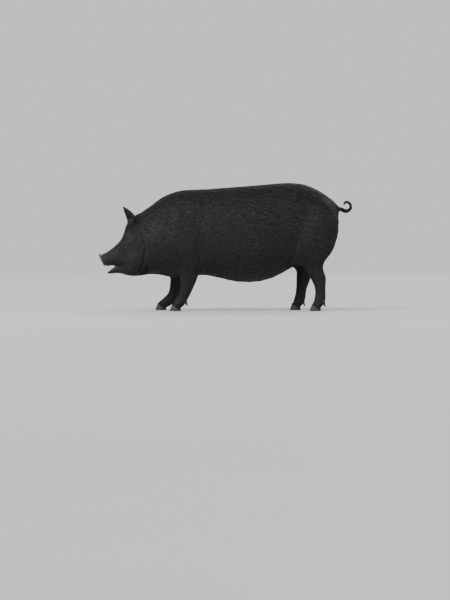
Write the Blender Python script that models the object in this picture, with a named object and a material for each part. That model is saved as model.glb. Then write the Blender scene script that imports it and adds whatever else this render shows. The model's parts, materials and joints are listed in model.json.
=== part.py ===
"""A life-size domestic pig, standing in mid-stride with its mouth a little open.

Metres, +Z up. The head points to -X and the pig's left side faces -Y. The origin is
below the middle of the body, at the level of the soles of the eight main claws, which
are the small flats that the pig stands on. The flesh is modelled as one body and then
parted by thin cuts where a person would name its parts. Eyes, claws, ears, nose disc
and tail lengths are bodies of their own, seated face to face.
"""

import math

import bmesh
import bpy
import numpy as np
from mathutils import Matrix, Vector

# Working sizes
GAP = 0.0003
REACH = 3.0
BODY_VOXEL = 0.008
BODY_FILLET = 0.022
BODY_RELAX = 10
SKIN_VOXEL = 0.0035
SKIN_FILLET = 0.005
SKIN_RELAX = 4
FLESH_TRIANGLES = 6900
RING_POINTS = 40
LEFT, RIGHT = -1, 1

# Trunk stations from the neck to the rump: place along the pig, height of the back,
# height of the belly, half width, squareness, and how far the widest part sits low.
TRUNK = (
    (-0.470, 0.655, 0.230, 0.150, 2.1, 0.16),
    (-0.410, 0.703, 0.223, 0.165, 2.2, 0.12),
    (-0.350, 0.733, 0.205, 0.182, 2.3, 0.08),
    (-0.285, 0.753, 0.203, 0.194, 2.3, 0.05),
    (-0.210, 0.758, 0.212, 0.200, 2.3, 0.04),
    (-0.130, 0.761, 0.220, 0.203, 2.3, 0.05),
    (-0.035, 0.768, 0.200, 0.212, 2.3, 0.07),
    (0.070, 0.776, 0.177, 0.221, 2.3, 0.09),
    (0.180, 0.784, 0.175, 0.223, 2.3, 0.08),
    (0.280, 0.793, 0.195, 0.215, 2.3, 0.05),
    (0.370, 0.800, 0.240, 0.203, 2.3, 0.02),
    (0.455, 0.798, 0.290, 0.192, 2.2, 0.0),
    (0.530, 0.780, 0.347, 0.176, 2.1, -0.03),
    (0.590, 0.749, 0.397, 0.150, 2.0, -0.03),
    (0.640, 0.716, 0.440, 0.125, 2.0, 0.0),
    (0.676, 0.690, 0.470, 0.105, 2.0, 0.0),
    (0.698, 0.662, 0.505, 0.070, 2.0, 0.0),
    (0.706, 0.635, 0.540, 0.030, 2.0, 0.0),
)

# Neck and upper head, from the shoulder to the nose disc, as slanting sections: top
# point (x, z), bottom point (x, z), half width, squareness, widest part low.
FACE = (
    (-0.422, 0.689, -0.372, 0.216, 0.164, 2.2, 0.14),
    (-0.491, 0.644, -0.428, 0.222, 0.150, 2.2, 0.20),
    (-0.550, 0.604, -0.478, 0.225, 0.136, 2.2, 0.28),
    (-0.597, 0.574, -0.522, 0.220, 0.122, 2.3, 0.30),
    (-0.623, 0.526, -0.553, 0.220, 0.112, 2.5, 0.22),
    (-0.639, 0.471, -0.591, 0.240, 0.101, 2.6, 0.16),
    (-0.663, 0.431, -0.625, 0.263, 0.080, 2.5, 0.18),
    (-0.694, 0.402, -0.663, 0.283, 0.062, 2.5, 0.16),
    (-0.728, 0.376, -0.700, 0.283, 0.052, 2.5, 0.12),
    (-0.754, 0.358, -0.729, 0.276, 0.048, 2.4, 0.06),
    (-0.779, 0.352, -0.748, 0.273, 0.050, 2.3, 0.02),
    (-0.800, 0.344, -0.768, 0.266, 0.050, 2.3, 0.02),
)

# Lower jaw, from the jowl to the chin, in the same terms
JAW = (
    (-0.534, 0.303, -0.528, 0.218, 0.092, 2.2, 0.0),
    (-0.597, 0.295, -0.594, 0.216, 0.074, 2.2, -0.05),
    (-0.647, 0.286, -0.644, 0.229, 0.052, 2.3, -0.10),
    (-0.681, 0.275, -0.678, 0.234, 0.042, 2.3, -0.12),
    (-0.709, 0.258, -0.706, 0.231, 0.036, 2.3, -0.12),
    (-0.731, 0.247, -0.729, 0.229, 0.026, 2.2, -0.10),
    (-0.7405, 0.2415, -0.739, 0.2325, 0.014, 2.0, 0.0),
)

# Leg stations from the top of the shoulder or ham to the top of the claws: distance
# from the middle plane, half thickness fore and aft, half thickness sideways.
FORELEG = (
    (0.100, 0.085, 0.050),
    (0.112, 0.128, 0.082),
    (0.117, 0.130, 0.088),
    (0.119, 0.112, 0.084),
    (0.119, 0.085, 0.067),
    (0.122, 0.064, 0.052),
    (0.124, 0.055, 0.044),
    (0.125, 0.045, 0.039),
    (0.126, 0.039, 0.034),
    (0.126, 0.034, 0.029),
    (0.126, 0.036, 0.032),
    (0.127, 0.033, 0.035),
    (0.127, 0.029, 0.035),
    (0.127, 0.027, 0.034),
)
HINDLEG = (
    (0.080, 0.080, 0.060),
    (0.102, 0.128, 0.090),
    (0.111, 0.150, 0.102),
    (0.113, 0.143, 0.103),
    (0.115, 0.124, 0.094),
    (0.118, 0.100, 0.078),
    (0.122, 0.072, 0.056),
    (0.124, 0.054, 0.043),
    (0.125, 0.049, 0.038),
    (0.126, 0.040, 0.032),
    (0.126, 0.035, 0.029),
    (0.126, 0.037, 0.031),
    (0.127, 0.034, 0.034),
    (0.127, 0.029, 0.035),
    (0.127, 0.027, 0.034),
)

# The stride: the middle of each leg station, (x, z)
STRIDE = {
    "left_foreleg": (
        (-0.285, 0.640), (-0.275, 0.540), (-0.262, 0.450), (-0.240, 0.375),
        (-0.225, 0.303), (-0.225, 0.241), (-0.229, 0.197), (-0.238, 0.159),
        (-0.248, 0.122), (-0.263, 0.086), (-0.276, 0.062), (-0.292, 0.045),
        (-0.304, 0.031), (-0.316, 0.014),
    ),
    "right_foreleg": (
        (-0.300, 0.640), (-0.295, 0.540), (-0.288, 0.450), (-0.284, 0.375),
        (-0.284, 0.303), (-0.292, 0.241), (-0.300, 0.197), (-0.309, 0.159),
        (-0.317, 0.126), (-0.333, 0.092), (-0.352, 0.067), (-0.377, 0.048),
        (-0.402, 0.033), (-0.421, 0.016),
    ),
    "left_hindleg": (
        (0.500, 0.680), (0.545, 0.600), (0.556, 0.530), (0.556, 0.460),
        (0.550, 0.400), (0.544, 0.349), (0.543, 0.297), (0.552, 0.255),
        (0.576, 0.206), (0.584, 0.164), (0.587, 0.122), (0.586, 0.080),
        (0.576, 0.052), (0.562, 0.031), (0.550, 0.013),
    ),
    "right_hindleg": (
        (0.490, 0.680), (0.535, 0.600), (0.538, 0.530), (0.524, 0.460),
        (0.508, 0.400), (0.499, 0.349), (0.497, 0.297), (0.499, 0.255),
        (0.492, 0.206), (0.484, 0.164), (0.477, 0.122), (0.472, 0.080),
        (0.460, 0.052), (0.447, 0.031), (0.436, 0.013),
    ),
}

# Fleshy swellings on both sides: centre (x, out from the middle, z), half sizes
SWELLINGS = (
    ((-0.270, 0.105, 0.480), (0.150, 0.098, 0.200)),
    ((0.470, 0.125, 0.380), (0.075, 0.062, 0.110)),
    ((0.410, 0.118, 0.350), (0.090, 0.050, 0.078)),
    ((-0.535, 0.074, 0.312), (0.095, 0.062, 0.086)),
    ((-0.592, 0.064, 0.390), (0.062, 0.038, 0.052)),
    ((-0.598, 0.060, 0.468), (0.044, 0.036, 0.026)),
)

# Mouth, seen from the side: the corner of the lips, and rows of (x, z, half width) for
# the line between the lips and for the rolls of the two lips beside it.
MOUTH_CORNER = Vector((-0.632, 0, 0.298))
MOUTH_LINE = ((-0.683, 0.2824, 0.0026), (-0.655, 0.2909, 0.0024), (-0.622, 0.3030, 0.0008))
MOUTH_DEPTH = 0.0045
UPPER_LIP = (
    (-0.727, 0.2840, 0.0045), (-0.700, 0.2900, 0.0070), (-0.665, 0.2980, 0.0070),
    (-0.630, 0.3100, 0.0040),
)
LOWER_LIP = (
    (-0.729, 0.2420, 0.0038), (-0.705, 0.2550, 0.0062), (-0.670, 0.2715, 0.0066),
    (-0.640, 0.2820, 0.0040),
)
LIP_SINK = 0.25

# Eyes: where they show from the side, the way they look, and their lids
EYE_X, EYE_Z = -0.616, 0.444
EYE_LOOK = Vector((-0.48, 0.85, 0.12)).normalized()
EYE_RADIUS = 0.0135
EYE_DEPTH = 0.0100
EYE_CORNERS = Vector((-0.92, 0, -0.38))
LIDS = Vector((0.0260, 0.0190, 0.0140))
LID_LENGTH, LID_OPENING = 0.0112, 0.0076

# Nose disc: the middle of its back, the way it faces, half width, half height
DISC_BACK = Vector((-0.7605, 0, 0.3205))
DISC_FACING = Vector((-0.902, 0, -0.432)).normalized()
DISC_HALF_WIDTH, DISC_HALF_HEIGHT = 0.057, 0.043
DISC_STEPS = ((0.0, 0.88), (0.004, 0.97), (0.009, 1.0), (0.013, 0.97), (0.0165, 0.86), (0.0165, 0.72))
DISC_HOLLOW = (0.0145, 0.40)
NOSTRIL_OUT, NOSTRIL_UP = 0.021, 0.003
NOSTRIL_HALF = Vector((0.0105, 0.0080, 0.012))

# Ears: root, tip, the way the cup opens, and leaf stations along the ear: distance,
# reach of the front edge, reach of the back edge, bulge of the back, depth of the cup.
EAR_ROOT = Vector((-0.584, 0.066, 0.545))
EAR_TIP = Vector((-0.633, 0.108, 0.645))
EAR_OPENING = Vector((-0.75, 0.66, 0))
EAR_EDGE = 0.0018
EAR = (
    (0.000, 0.034, 0.034, 0.022, -0.018),
    (0.012, 0.036, 0.040, 0.024, -0.010),
    (0.024, 0.037, 0.048, 0.025, 0.010),
    (0.040, 0.036, 0.056, 0.024, 0.018),
    (0.058, 0.033, 0.057, 0.020, 0.015),
    (0.078, 0.027, 0.048, 0.015, 0.0105),
    (0.096, 0.020, 0.034, 0.010, 0.006),
    (0.109, 0.012, 0.019, 0.006, 0.003),
    (0.118, 0.005, 0.007, 0.0035, 0.0005),
    (0.122, 0.002, 0.002, 0.0015, -0.0015),
)

# Tongue, lying in the open part of the mouth
TONGUE_PLACE = Vector((-0.700, 0, 0.2625))
TONGUE_HALF = Vector((0.024, 0.020, 0.0060))
TONGUE_TILT = -0.50

# Tail: middle line and radius, from inside the rump to the tip. DOCK is how much of
# it is one with the rump, and the rest is in lengths that end at TAIL_ENDS.
TAIL = (
    (0.680, 0.000, 0.652, 0.0260),
    (0.703, 0.000, 0.645, 0.0170),
    (0.728, 0.003, 0.630, 0.0125),
    (0.756, 0.009, 0.622, 0.0108),
    (0.779, 0.016, 0.633, 0.0100),
    (0.784, 0.023, 0.655, 0.0092),
    (0.773, 0.028, 0.674, 0.0084),
    (0.755, 0.030, 0.680, 0.0076),
    (0.744, 0.029, 0.671, 0.0066),
    (0.744, 0.027, 0.661, 0.0050),
)
DOCK = 1.6
TAIL_ENDS = (1.6, 3.6, 6.0, 9.0)

# Feet: the claws' sole, the band at their top, the cleft between them, and dewclaws
CLAW_SPREAD = 0.0190
CLAW_HALF_LENGTH, CLAW_HALF_WIDTH = 0.0345, 0.0165
CLAW_FORWARD = 0.006
BAND_HALF_LENGTH, BAND_HALF_WIDTH = 0.0245, 0.0164
BAND_UP = Vector((0.50, 0, 0.866))
CLEFT_HALF_WIDTH, CLEFT_HEIGHT = 0.0025, 0.024
DEWCLAW_OUT = 0.0180
DEWCLAW_LEAN = Vector((0.35, 0, -0.93)).normalized()
DEWCLAW_STEPS = ((-0.006, 0.0085), (0.0, 0.0095), (0.012, 0.0085), (0.021, 0.0058), (0.026, 0.0022))
FETLOCK = {"fore": 10, "hind": 12}
KNEE = {"fore": 7, "hind": 8}
BAND = -2

# Where the parts meet: a point of each thin cut and its normal
SNOUT_FLOOR = (Vector((0, 0, 0.262)), Vector((0, 0, -1)))
HEAD_CUT = (Vector((-0.5145, 0, 0.415)), Vector((0.99, 0, 0.136)))
NECK_CUT = (Vector((-0.393, 0, 0.458)), Vector((0.996, 0, 0.087)))
JAW_CUT_TOP = (MOUTH_CORNER, Vector((-0.293, 0, 0.956)))
JAW_CUT_BACK = (MOUTH_CORNER, Vector((0.95, 0, 0.31)))
FORELEG_SLANT = (Vector((0, 0.065, 0.190)), Vector((0, -0.835, 0.55)))
HINDLEG_SLANT = (Vector((0, 0.020, 0.330)), Vector((0, -0.58, 0.81)))
LEG_INNER = (Vector((0, 0.018, 0)), Vector((0, -1, 0)))
LEG_CUTS = {
    "left_foreleg": ((-0.318, -0.30, 0.250), (-0.130, 0.23, 0.250)),
    "right_foreleg": ((-0.382, -0.30, 0.250), (-0.190, 0.23, 0.250)),
    "left_hindleg": ((0.425, -0.10, 0.350), (0.800, 0.0, 0.350)),
    "right_hindleg": ((0.385, -0.10, 0.350), (0.800, 0.0, 0.350)),
}

# Finishes: base colour, roughness
FINISHES = {
    "skin": ((0.030, 0.027, 0.027), 0.62),
    "nose": ((0.060, 0.046, 0.047), 0.48),
    "horn": ((0.022, 0.018, 0.015), 0.42),
    "eye": ((0.020, 0.010, 0.005), 0.06),
    "tongue": ((0.420, 0.150, 0.140), 0.35),
}


def smooth_rows(rows, count):
    """Reads `count` rows off one smooth curve that passes through the given rows."""
    rows = np.array(rows, float)
    padded = np.vstack([2 * rows[0] - rows[1], rows, 2 * rows[-1] - rows[-2]])
    spans = len(rows) - 1
    found = []
    for place in np.linspace(0, spans, count):
        start = min(int(place), spans - 1)
        t = place - start
        a, b, c, d = padded[start : start + 4]
        bend = (2 * a - 5 * b + 4 * c - d) * t**2 + (3 * b - a - 3 * c + d) * t**3
        found.append((2 * b + (c - a) * t + bend) / 2)
    return found


def power(value, squareness):
    """A sine or cosine bent so that a circle becomes a rounder or squarer oval."""
    return math.copysign(abs(value) ** (2 / squareness), value)


def ring(centre, across, up, half_width, half_height, squareness=2.0, low=0.0, count=RING_POINTS):
    """One closed oval section of a loft, as a list of points."""
    points = []
    for i in range(count):
        angle = 2 * math.pi * i / count
        side = power(math.cos(angle), squareness) * half_width
        rise = power(math.sin(angle), squareness)
        points.append(centre + across * side * (1 - low * rise) + up * rise * half_height)
    return points


def made(name, mesh):
    """Makes an object of a bmesh, frees the bmesh and links the object."""
    data = bpy.data.meshes.new(name)
    mesh.to_mesh(data)
    mesh.free()
    thing = bpy.data.objects.new(name, data)
    bpy.context.scene.collection.objects.link(thing)
    return thing


def loft(name, rings):
    """A closed body through sections of equal point counts, with capped ends."""
    mesh = bmesh.new()
    loops = [[mesh.verts.new(point) for point in points] for points in rings]
    for loop, following in zip(loops, loops[1:]):
        for i, corner in enumerate(loop):
            j = (i + 1) % len(loop)
            mesh.faces.new((corner, loop[j], following[j], following[i]))
    mesh.faces.new(loops[0])
    mesh.faces.new(loops[-1])
    bmesh.ops.recalc_face_normals(mesh, faces=mesh.faces)
    return made(name, mesh)


def egg(name, centre, half_sizes, turns=32, steps=20, frame=None):
    """A closed egg shape, turned by a rotation frame if one is given."""
    mesh = bmesh.new()
    bmesh.ops.create_uvsphere(mesh, u_segments=turns, v_segments=steps, radius=1)
    turn = frame.to_4x4() if frame else Matrix.Identity(4)
    place = Matrix.Translation(centre) @ turn @ Matrix.Diagonal((*half_sizes, 1))
    bmesh.ops.transform(mesh, matrix=place, verts=mesh.verts)
    return made(name, mesh)


def block_within(name, planes):
    """The convex block that lies behind every plane, each a (point, outward normal)."""
    mesh = bmesh.new()
    bmesh.ops.create_cube(mesh, size=REACH)
    for point, normal in planes:
        everything = mesh.verts[:] + mesh.edges[:] + mesh.faces[:]
        cut = bmesh.ops.bisect_plane(
            mesh, geom=everything, plane_co=point, plane_no=normal, clear_outer=True
        )
        rim = [item for item in cut["geom_cut"] if isinstance(item, bmesh.types.BMEdge)]
        bmesh.ops.edgeloop_fill(mesh, edges=rim)
    bmesh.ops.recalc_face_normals(mesh, faces=mesh.faces)
    return made(name, mesh)


def remove(thing):
    bpy.data.objects.remove(thing)


def settle(thing):
    """Turns an object's modifiers into its own mesh."""
    graph = bpy.context.evaluated_depsgraph_get()
    old = thing.data
    thing.data = bpy.data.meshes.new_from_object(thing.evaluated_get(graph))
    thing.modifiers.clear()
    bpy.data.meshes.remove(old)


def join(name, parts):
    """Puts several closed meshes into one object, still overlapping."""
    mesh = bmesh.new()
    for part in parts:
        mesh.from_mesh(part.data)
        remove(part)
    return made(name, mesh)


def copy(thing, name):
    twin = thing.copy()
    twin.data = thing.data.copy()
    twin.name = name
    bpy.context.scene.collection.objects.link(twin)
    return twin


def remesh(thing, voxel):
    """One closed skin round everything in the object."""
    step = thing.modifiers.new("skin", "REMESH")
    step.mode = "VOXEL"
    step.voxel_size = voxel
    settle(thing)


def swell(thing, distance):
    step = thing.modifiers.new("swell", "DISPLACE")
    step.strength = distance
    step.mid_level = 0
    settle(thing)


def fillet(thing, radius, voxel):
    """Rounds the hollows between forms: swell, skin over, and shrink back."""
    remesh(thing, voxel)
    swell(thing, radius)
    remesh(thing, voxel)
    swell(thing, -radius)
    remesh(thing, voxel)


def relax(thing, repeats):
    step = thing.modifiers.new("relax", "SMOOTH")
    step.factor = 0.5
    step.iterations = repeats
    settle(thing)


def boolean(thing, cutter, operation):
    step = thing.modifiers.new("boolean", "BOOLEAN")
    step.operation = operation
    step.object = cutter
    settle(thing)


def trunk():
    across, up = Vector((0, 1, 0)), Vector((0, 0, 1))
    rings = []
    for x, back, belly, half, square, low in smooth_rows(TRUNK, 64):
        centre = Vector((x, 0, (back + belly) / 2))
        rings.append(ring(centre, across, up, half, (back - belly) / 2, square, low))
    return loft("trunk", rings)


def slanting_loft(name, rows, count):
    """A loft whose sections run from a point of the top line to one of the bottom line."""
    rings = []
    for top_x, top_z, low_x, low_z, half, square, low in smooth_rows(rows, count):
        top, bottom = Vector((top_x, 0, top_z)), Vector((low_x, 0, low_z))
        up = (top - bottom) / 2
        rings.append(ring((top + bottom) / 2, Vector((0, 1, 0)), up, half, 1, square, low))
    return loft(name, rings)


def leg(name, side):
    """A leg whose sections stand square to the line down its middle."""
    stations = FORELEG if "fore" in name else HINDLEG
    rows = [(x, z, *station) for (x, z), station in zip(STRIDE[name], stations)]
    rows = smooth_rows(rows, 56)
    middles = [Vector((x, side * y, z)) for x, z, y, fore, wide in rows]
    across = Vector((0, 1, 0))
    rings = []
    for i, (x, z, y, fore, wide) in enumerate(rows):
        before, after = middles[max(i - 1, 0)], middles[min(i + 1, len(rows) - 1)]
        ahead = (after - before).cross(across).normalized()
        rings.append(ring(middles[i], across, ahead, wide, fore, 2.2))
    return loft(name, rings)


def swellings(table):
    eggs = []
    for (x, y, z), half in table:
        for side in (LEFT, RIGHT):
            eggs.append(egg("swelling", Vector((x, side * y, z)), Vector(half)))
    return eggs


def frame_along(direction):
    """Sideways, upward and forward axes of a section square to a direction."""
    ahead = direction.normalized()
    across = Vector((0, 1, 0)) - ahead * ahead.y
    across.normalize()
    up = ahead.cross(across)
    if up.z < 0:
        across, up = -across, -up
    return across, up, ahead


def tube(name, rows, start, end, count, turns):
    """A tapering tube along a smooth middle line, from one place on it to another."""
    spans = len(rows) - 1
    fine = 40
    line = smooth_rows(rows, spans * fine + 1)
    places = [round(fine * (start + (end - start) * i / (count - 1))) for i in range(count)]
    rings = []
    for i, place in enumerate(places):
        x, y, z, radius = line[place]
        before, after = line[max(place - 1, 0)], line[min(place + 1, spans * fine)]
        across, up, ahead = frame_along(Vector(after[:3]) - Vector(before[:3]))
        inset = GAP / 2 if i == 0 else -GAP / 2 if i == count - 1 else 0
        centre = Vector((x, y, z)) + ahead * inset
        rings.append(ring(centre, across, up, radius, radius, count=turns))
    return loft(name, rings)


def tail_place(place):
    """The point, direction and radius of the tail at a place along it."""
    line = smooth_rows(TAIL, 40 * (len(TAIL) - 1) + 1)
    i = round(40 * place)
    return Vector(line[i][:3]), Vector(line[i + 1][:3]) - Vector(line[i - 1][:3]), line[i][3]


def mirrored(vector, side):
    return Vector((vector.x, vector.y * side, vector.z))


def skin_point(body, x, z, side):
    """The point of the skin that shows at (x, z) from one side."""
    bpy.context.view_layer.update()
    hit, place, normal, face = body.ray_cast(Vector((x, side, z)), Vector((0, -side, 0)))
    if not hit:
        raise ValueError(f"no skin at {x:.3f}, {z:.3f}")
    return place


def along_skin(name, body, rows, side, sink, depth=None, corners=12):
    """A slim body along a line on the skin, sunk by a share of its half width."""
    rows = smooth_rows(rows, 11)
    places = [skin_point(body, x, z, side) for x, z, half in rows]
    rings = []
    for i, (x, z, half) in enumerate(rows):
        ahead = places[min(i + 1, len(rows) - 1)] - places[max(i - 1, 0)]
        across, up, ahead = frame_along(ahead)
        if across.y * side < 0:
            across, up = -across, -up
        centre = places[i] - across * half * sink
        rings.append(ring(centre, across, up, depth or half, half, count=corners))
    return loft(name, rings)


def eye_centre(body, side):
    place = skin_point(body, EYE_X, EYE_Z, side)
    return place - mirrored(EYE_LOOK, side) * EYE_DEPTH


def ear_frame(side):
    """The ear's root, its direction, the way the cup opens and the way its back edge lies."""
    root, tip = mirrored(EAR_ROOT, side), mirrored(EAR_TIP, side)
    along = (tip - root).normalized()
    opening = mirrored(EAR_OPENING, side)
    opening = (opening - along * opening.dot(along)).normalized()
    backward = along.cross(opening)
    if backward.x < 0:
        backward.negate()
    return root, along, opening, backward


def ear_ring(side, distance, front, back, bulge, cup, points=8):
    """A crescent section: the bulging back from edge to edge, then the cup's inside."""
    root, along, opening, backward = ear_frame(side)
    section = []
    for inside in (False, True):
        depth = cup if inside else bulge
        edge = EAR_EDGE if inside else -EAR_EDGE
        for i in range(points):
            u = -1 + 2 * (i + 0.5) / points
            u = -u if inside else u
            reach = u * (back if u > 0 else front)
            sink = depth * (1 - u * u) ** min(1, 0.5 + distance / 0.04) - edge
            section.append(root + along * distance + backward * reach - opening * sink)
    return section


def ear(name, side):
    rows = smooth_rows(EAR, 13)
    rings = [ear_ring(side, *row) for row in rows]
    root, along, opening, backward = ear_frame(side)
    rings[0] = [point + along * GAP for point in rings[0]]
    return loft(name, rings)


def ear_stump(side):
    """The flesh that the ear stands on, with the outline of the ear's root."""
    root, along, opening, backward = ear_frame(side)
    rings = []
    for distance, grow in ((-0.060, 1.45), (-0.030, 1.25), (-0.010, 1.06), (0.0, 1.02), (0.008, 1.02)):
        points = ear_ring(side, *EAR[0])
        rings.append([root + (point - root) * grow + along * distance for point in points])
    return loft("ear_stump", rings)


def clear_beyond(body, section, ahead, grow):
    """Cuts the flesh flat at a section, and away in front of it within its outline."""
    middle = sum(section, Vector()) / len(section)
    rings = []
    for distance in (0, 0.05):
        rings.append([middle + (point - middle) * grow + ahead * distance for point in section])
    socket(body, loft("cutter", rings))


def leg_side(name):
    return LEFT if "left" in name else RIGHT


def leg_kind(name):
    return "fore" if "fore" in name else "hind"


def leg_point(name, station):
    """The middle of one of a leg's stations."""
    stations = FORELEG if leg_kind(name) == "fore" else HINDLEG
    x, z = STRIDE[name][station]
    return Vector((x, leg_side(name) * stations[station][0], z))


def leg_up(name, station):
    """The direction up the leg at a station."""
    count = len(STRIDE[name])
    place = station % count
    up = leg_point(name, place - 1) - leg_point(name, place + 1)
    up.y = 0
    return up.normalized()


def dewclaw_seat(name, which):
    station = FETLOCK[leg_kind(name)]
    up = leg_up(name, station)
    back = up.cross(Vector((0, 1, 0)))
    if back.x < 0:
        back.negate()
    place = leg_point(name, station) + back * 0.030 + up * 0.012
    place.y += which * DEWCLAW_OUT
    lean = DEWCLAW_LEAN + Vector((0, which * 0.20, 0))
    return place, lean.normalized()


def dewclaw(name, foot, which, grow=0.0):
    place, lean = dewclaw_seat(foot, which)
    across, up, ahead = frame_along(lean)
    rings = []
    for i, (distance, radius) in enumerate(DEWCLAW_STEPS):
        centre = place + ahead * (distance - (grow if i == 0 else 0))
        rings.append(ring(centre, across, up, radius + grow, radius * 0.85 + grow, count=7))
    return loft(name, rings)


def claw(name, foot, which):
    """One main claw: a flat pointed sole, sloping walls, and a slanting band on top."""
    band, normal = leg_point(foot, BAND), BAND_UP
    middle_y = band.y + which * CLAW_SPREAD
    sole, top = [], []
    turns = 12
    for i in range(turns):
        angle = 2 * math.pi * i / turns
        along, out = math.cos(angle), math.sin(angle)
        pointed = 1.75 if along < 0 else 2.4
        cleft_side = 0.82 if out * which < 0 else 1.0
        x = power(along, pointed)
        y = power(out, pointed) * cleft_side
        front = band.x - CLAW_FORWARD
        sole.append(Vector((front + x * CLAW_HALF_LENGTH, middle_y + y * CLAW_HALF_WIDTH, 0)))
        wide_x = band.x + power(along, 2.1) * BAND_HALF_LENGTH
        wide_y = middle_y + power(out, 2.1) * cleft_side * BAND_HALF_WIDTH
        height = band.z - normal.x / normal.z * (wide_x - band.x)
        top.append(Vector((wide_x, wide_y, height)) - normal * GAP)
    rings = []
    for share, bulge in ((0, 0), (0.12, 0.0010), (0.5, 0.0016), (0.88, 0.0012), (1, 0)):
        points = []
        for low, high in zip(sole, top):
            point = low.lerp(high, share)
            out = Vector((point.x - band.x + CLAW_FORWARD * (1 - share), point.y - middle_y, 0))
            points.append(point + out.normalized() * bulge)
        rings.append(points)
    return loft(name, rings)


def flesh():
    """The whole body of flesh, before it is parted, and where its eyes sit."""
    legs = [leg(name, leg_side(name)) for name in STRIDE]
    masses = [trunk(), slanting_loft("face", FACE, 60), *legs, *swellings(SWELLINGS)]
    body = join("body", masses)
    fillet(body, BODY_FILLET, BODY_VOXEL)
    relax(body, BODY_RELAX)
    jaw = slanting_loft("jaw", JAW, 32)
    details = [jaw, tube("dock", TAIL, 0, DOCK + 0.3, 8, 20)]
    for side in (LEFT, RIGHT):
        details.append(along_skin("lip", body, UPPER_LIP, side, LIP_SINK))
        details.append(along_skin("lip", jaw, LOWER_LIP, side, LIP_SINK))
    details += [ear_stump(side) for side in (LEFT, RIGHT)]
    seats = {side: eye_centre(body, side) for side in (LEFT, RIGHT)}
    for foot in STRIDE:
        for which in (LEFT, RIGHT):
            place, lean = dewclaw_seat(foot, which)
            details.append(egg("toe", place - lean * 0.006, (0.012, 0.011, 0.012)))
    whole = join("flesh", [body, *details])
    fillet(whole, SKIN_FILLET, SKIN_VOXEL)
    relax(whole, SKIN_RELAX)
    return whole, seats


def thin(body, triangles):
    """Fewer triangles, with the head and the feet kept finer than the trunk."""
    fine = body.vertex_groups.new(name="fine")
    for vertex in body.data.vertices:
        x, y, z = vertex.co
        weight = 0.6 if x < -0.52 else 0.6 if z < 0.12 or x > 0.70 else 1.0
        if -0.75 < x < -0.61 and z < 0.32:
            weight = 0.45
        fine.add([vertex.index], weight, "REPLACE")
    step = body.modifiers.new("thin", "DECIMATE")
    step.ratio = triangles / (2 * len(body.data.polygons))
    step.vertex_group = "fine"
    step.vertex_group_factor = 0.05
    settle(body)
    body.vertex_groups.clear()


def keep_largest(thing):
    """Keeps the largest closed surface of an object."""
    mesh = bmesh.new()
    mesh.from_mesh(thing.data)
    left = set(mesh.verts)
    pieces = []
    while left:
        piece, edge = set(), [left.pop()]
        while edge:
            vertex = edge.pop()
            piece.add(vertex)
            for link in vertex.link_edges:
                other = link.other_vert(vertex)
                if other in left:
                    left.remove(other)
                    edge.append(other)
        pieces.append(piece)
    pieces.sort(key=len)
    for piece in pieces[:-1]:
        bmesh.ops.delete(mesh, geom=list(piece), context="VERTS")
    mesh.to_mesh(thing.data)
    mesh.free()


def cut_away(thing, planes):
    """Takes away what lies behind all the planes."""
    cutter = block_within("cutter", planes)
    boolean(thing, cutter, "DIFFERENCE")
    remove(cutter)
    keep_largest(thing)


def part_off(rest, name, planes):
    """Splits off what lies behind the planes as a new piece, with a thin gap."""
    piece = copy(rest, name)
    keeper = block_within("cutter", planes)
    boolean(piece, keeper, "INTERSECT")
    remove(keeper)
    keep_largest(piece)
    cut_away(rest, [(point + normal.normalized() * GAP, normal) for point, normal in planes])
    return piece


def socket(thing, cutter):
    boolean(thing, cutter, "DIFFERENCE")
    remove(cutter)
    keep_largest(thing)


def leg_planes(name):
    side = leg_side(name)
    point, normal = FORELEG_SLANT if leg_kind(name) == "fore" else HINDLEG_SLANT
    planes = [(mirrored(point, side), mirrored(normal, side))]
    planes.append((mirrored(LEG_INNER[0], side), mirrored(LEG_INNER[1], side)))
    (front, front_slope, front_z), (back, back_slope, back_z) = LEG_CUTS[name]
    planes.append((Vector((front, 0, front_z)), Vector((-1, 0, -front_slope))))
    planes.append((Vector((back, 0, back_z)), Vector((1, 0, back_slope))))
    return planes


def cleft_planes(name):
    """The slot between the two toes, at the front of the foot."""
    band, up = leg_point(name, BAND), BAND_UP
    half = Vector((0, CLEFT_HALF_WIDTH, 0))
    ahead = up.cross(Vector((0, 1, 0)))
    if ahead.x > 0:
        ahead.negate()
    return [
        (band + half, Vector((0, 1, 0))),
        (band - half, Vector((0, -1, 0))),
        (band + up * CLEFT_HEIGHT, up + ahead * 0.5),
        (band, -ahead),
        (band - Vector((0.06, 0, 0)), Vector((-1, 0, 0))),
    ]


def finish(thing, kind):
    colour, roughness = FINISHES[kind]
    name = "pig_" + kind
    material = bpy.data.materials.get(name)
    if material is None:
        material = bpy.data.materials.new(name)
        material.use_nodes = True
        shader = material.node_tree.nodes["Principled BSDF"]
        shader.inputs["Base Color"].default_value = (*colour, 1)
        shader.inputs["Roughness"].default_value = roughness
        material.diffuse_color = (*colour, 1)
    thing.data.materials.clear()
    thing.data.materials.append(material)
    thing.data.shade_smooth()
    thing.data.set_sharp_from_angle(angle=math.radians(40))


def oval_outline(centre, length, height, fullness, count=16):
    """An almond outline between two corners, in the plane of two axes."""
    points = []
    for i in range(count):
        angle = 2 * math.pi * i / count
        rise = math.sin(angle) * abs(math.sin(angle)) ** fullness
        points.append(centre + length * math.cos(angle) + height * rise)
    return points


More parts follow.
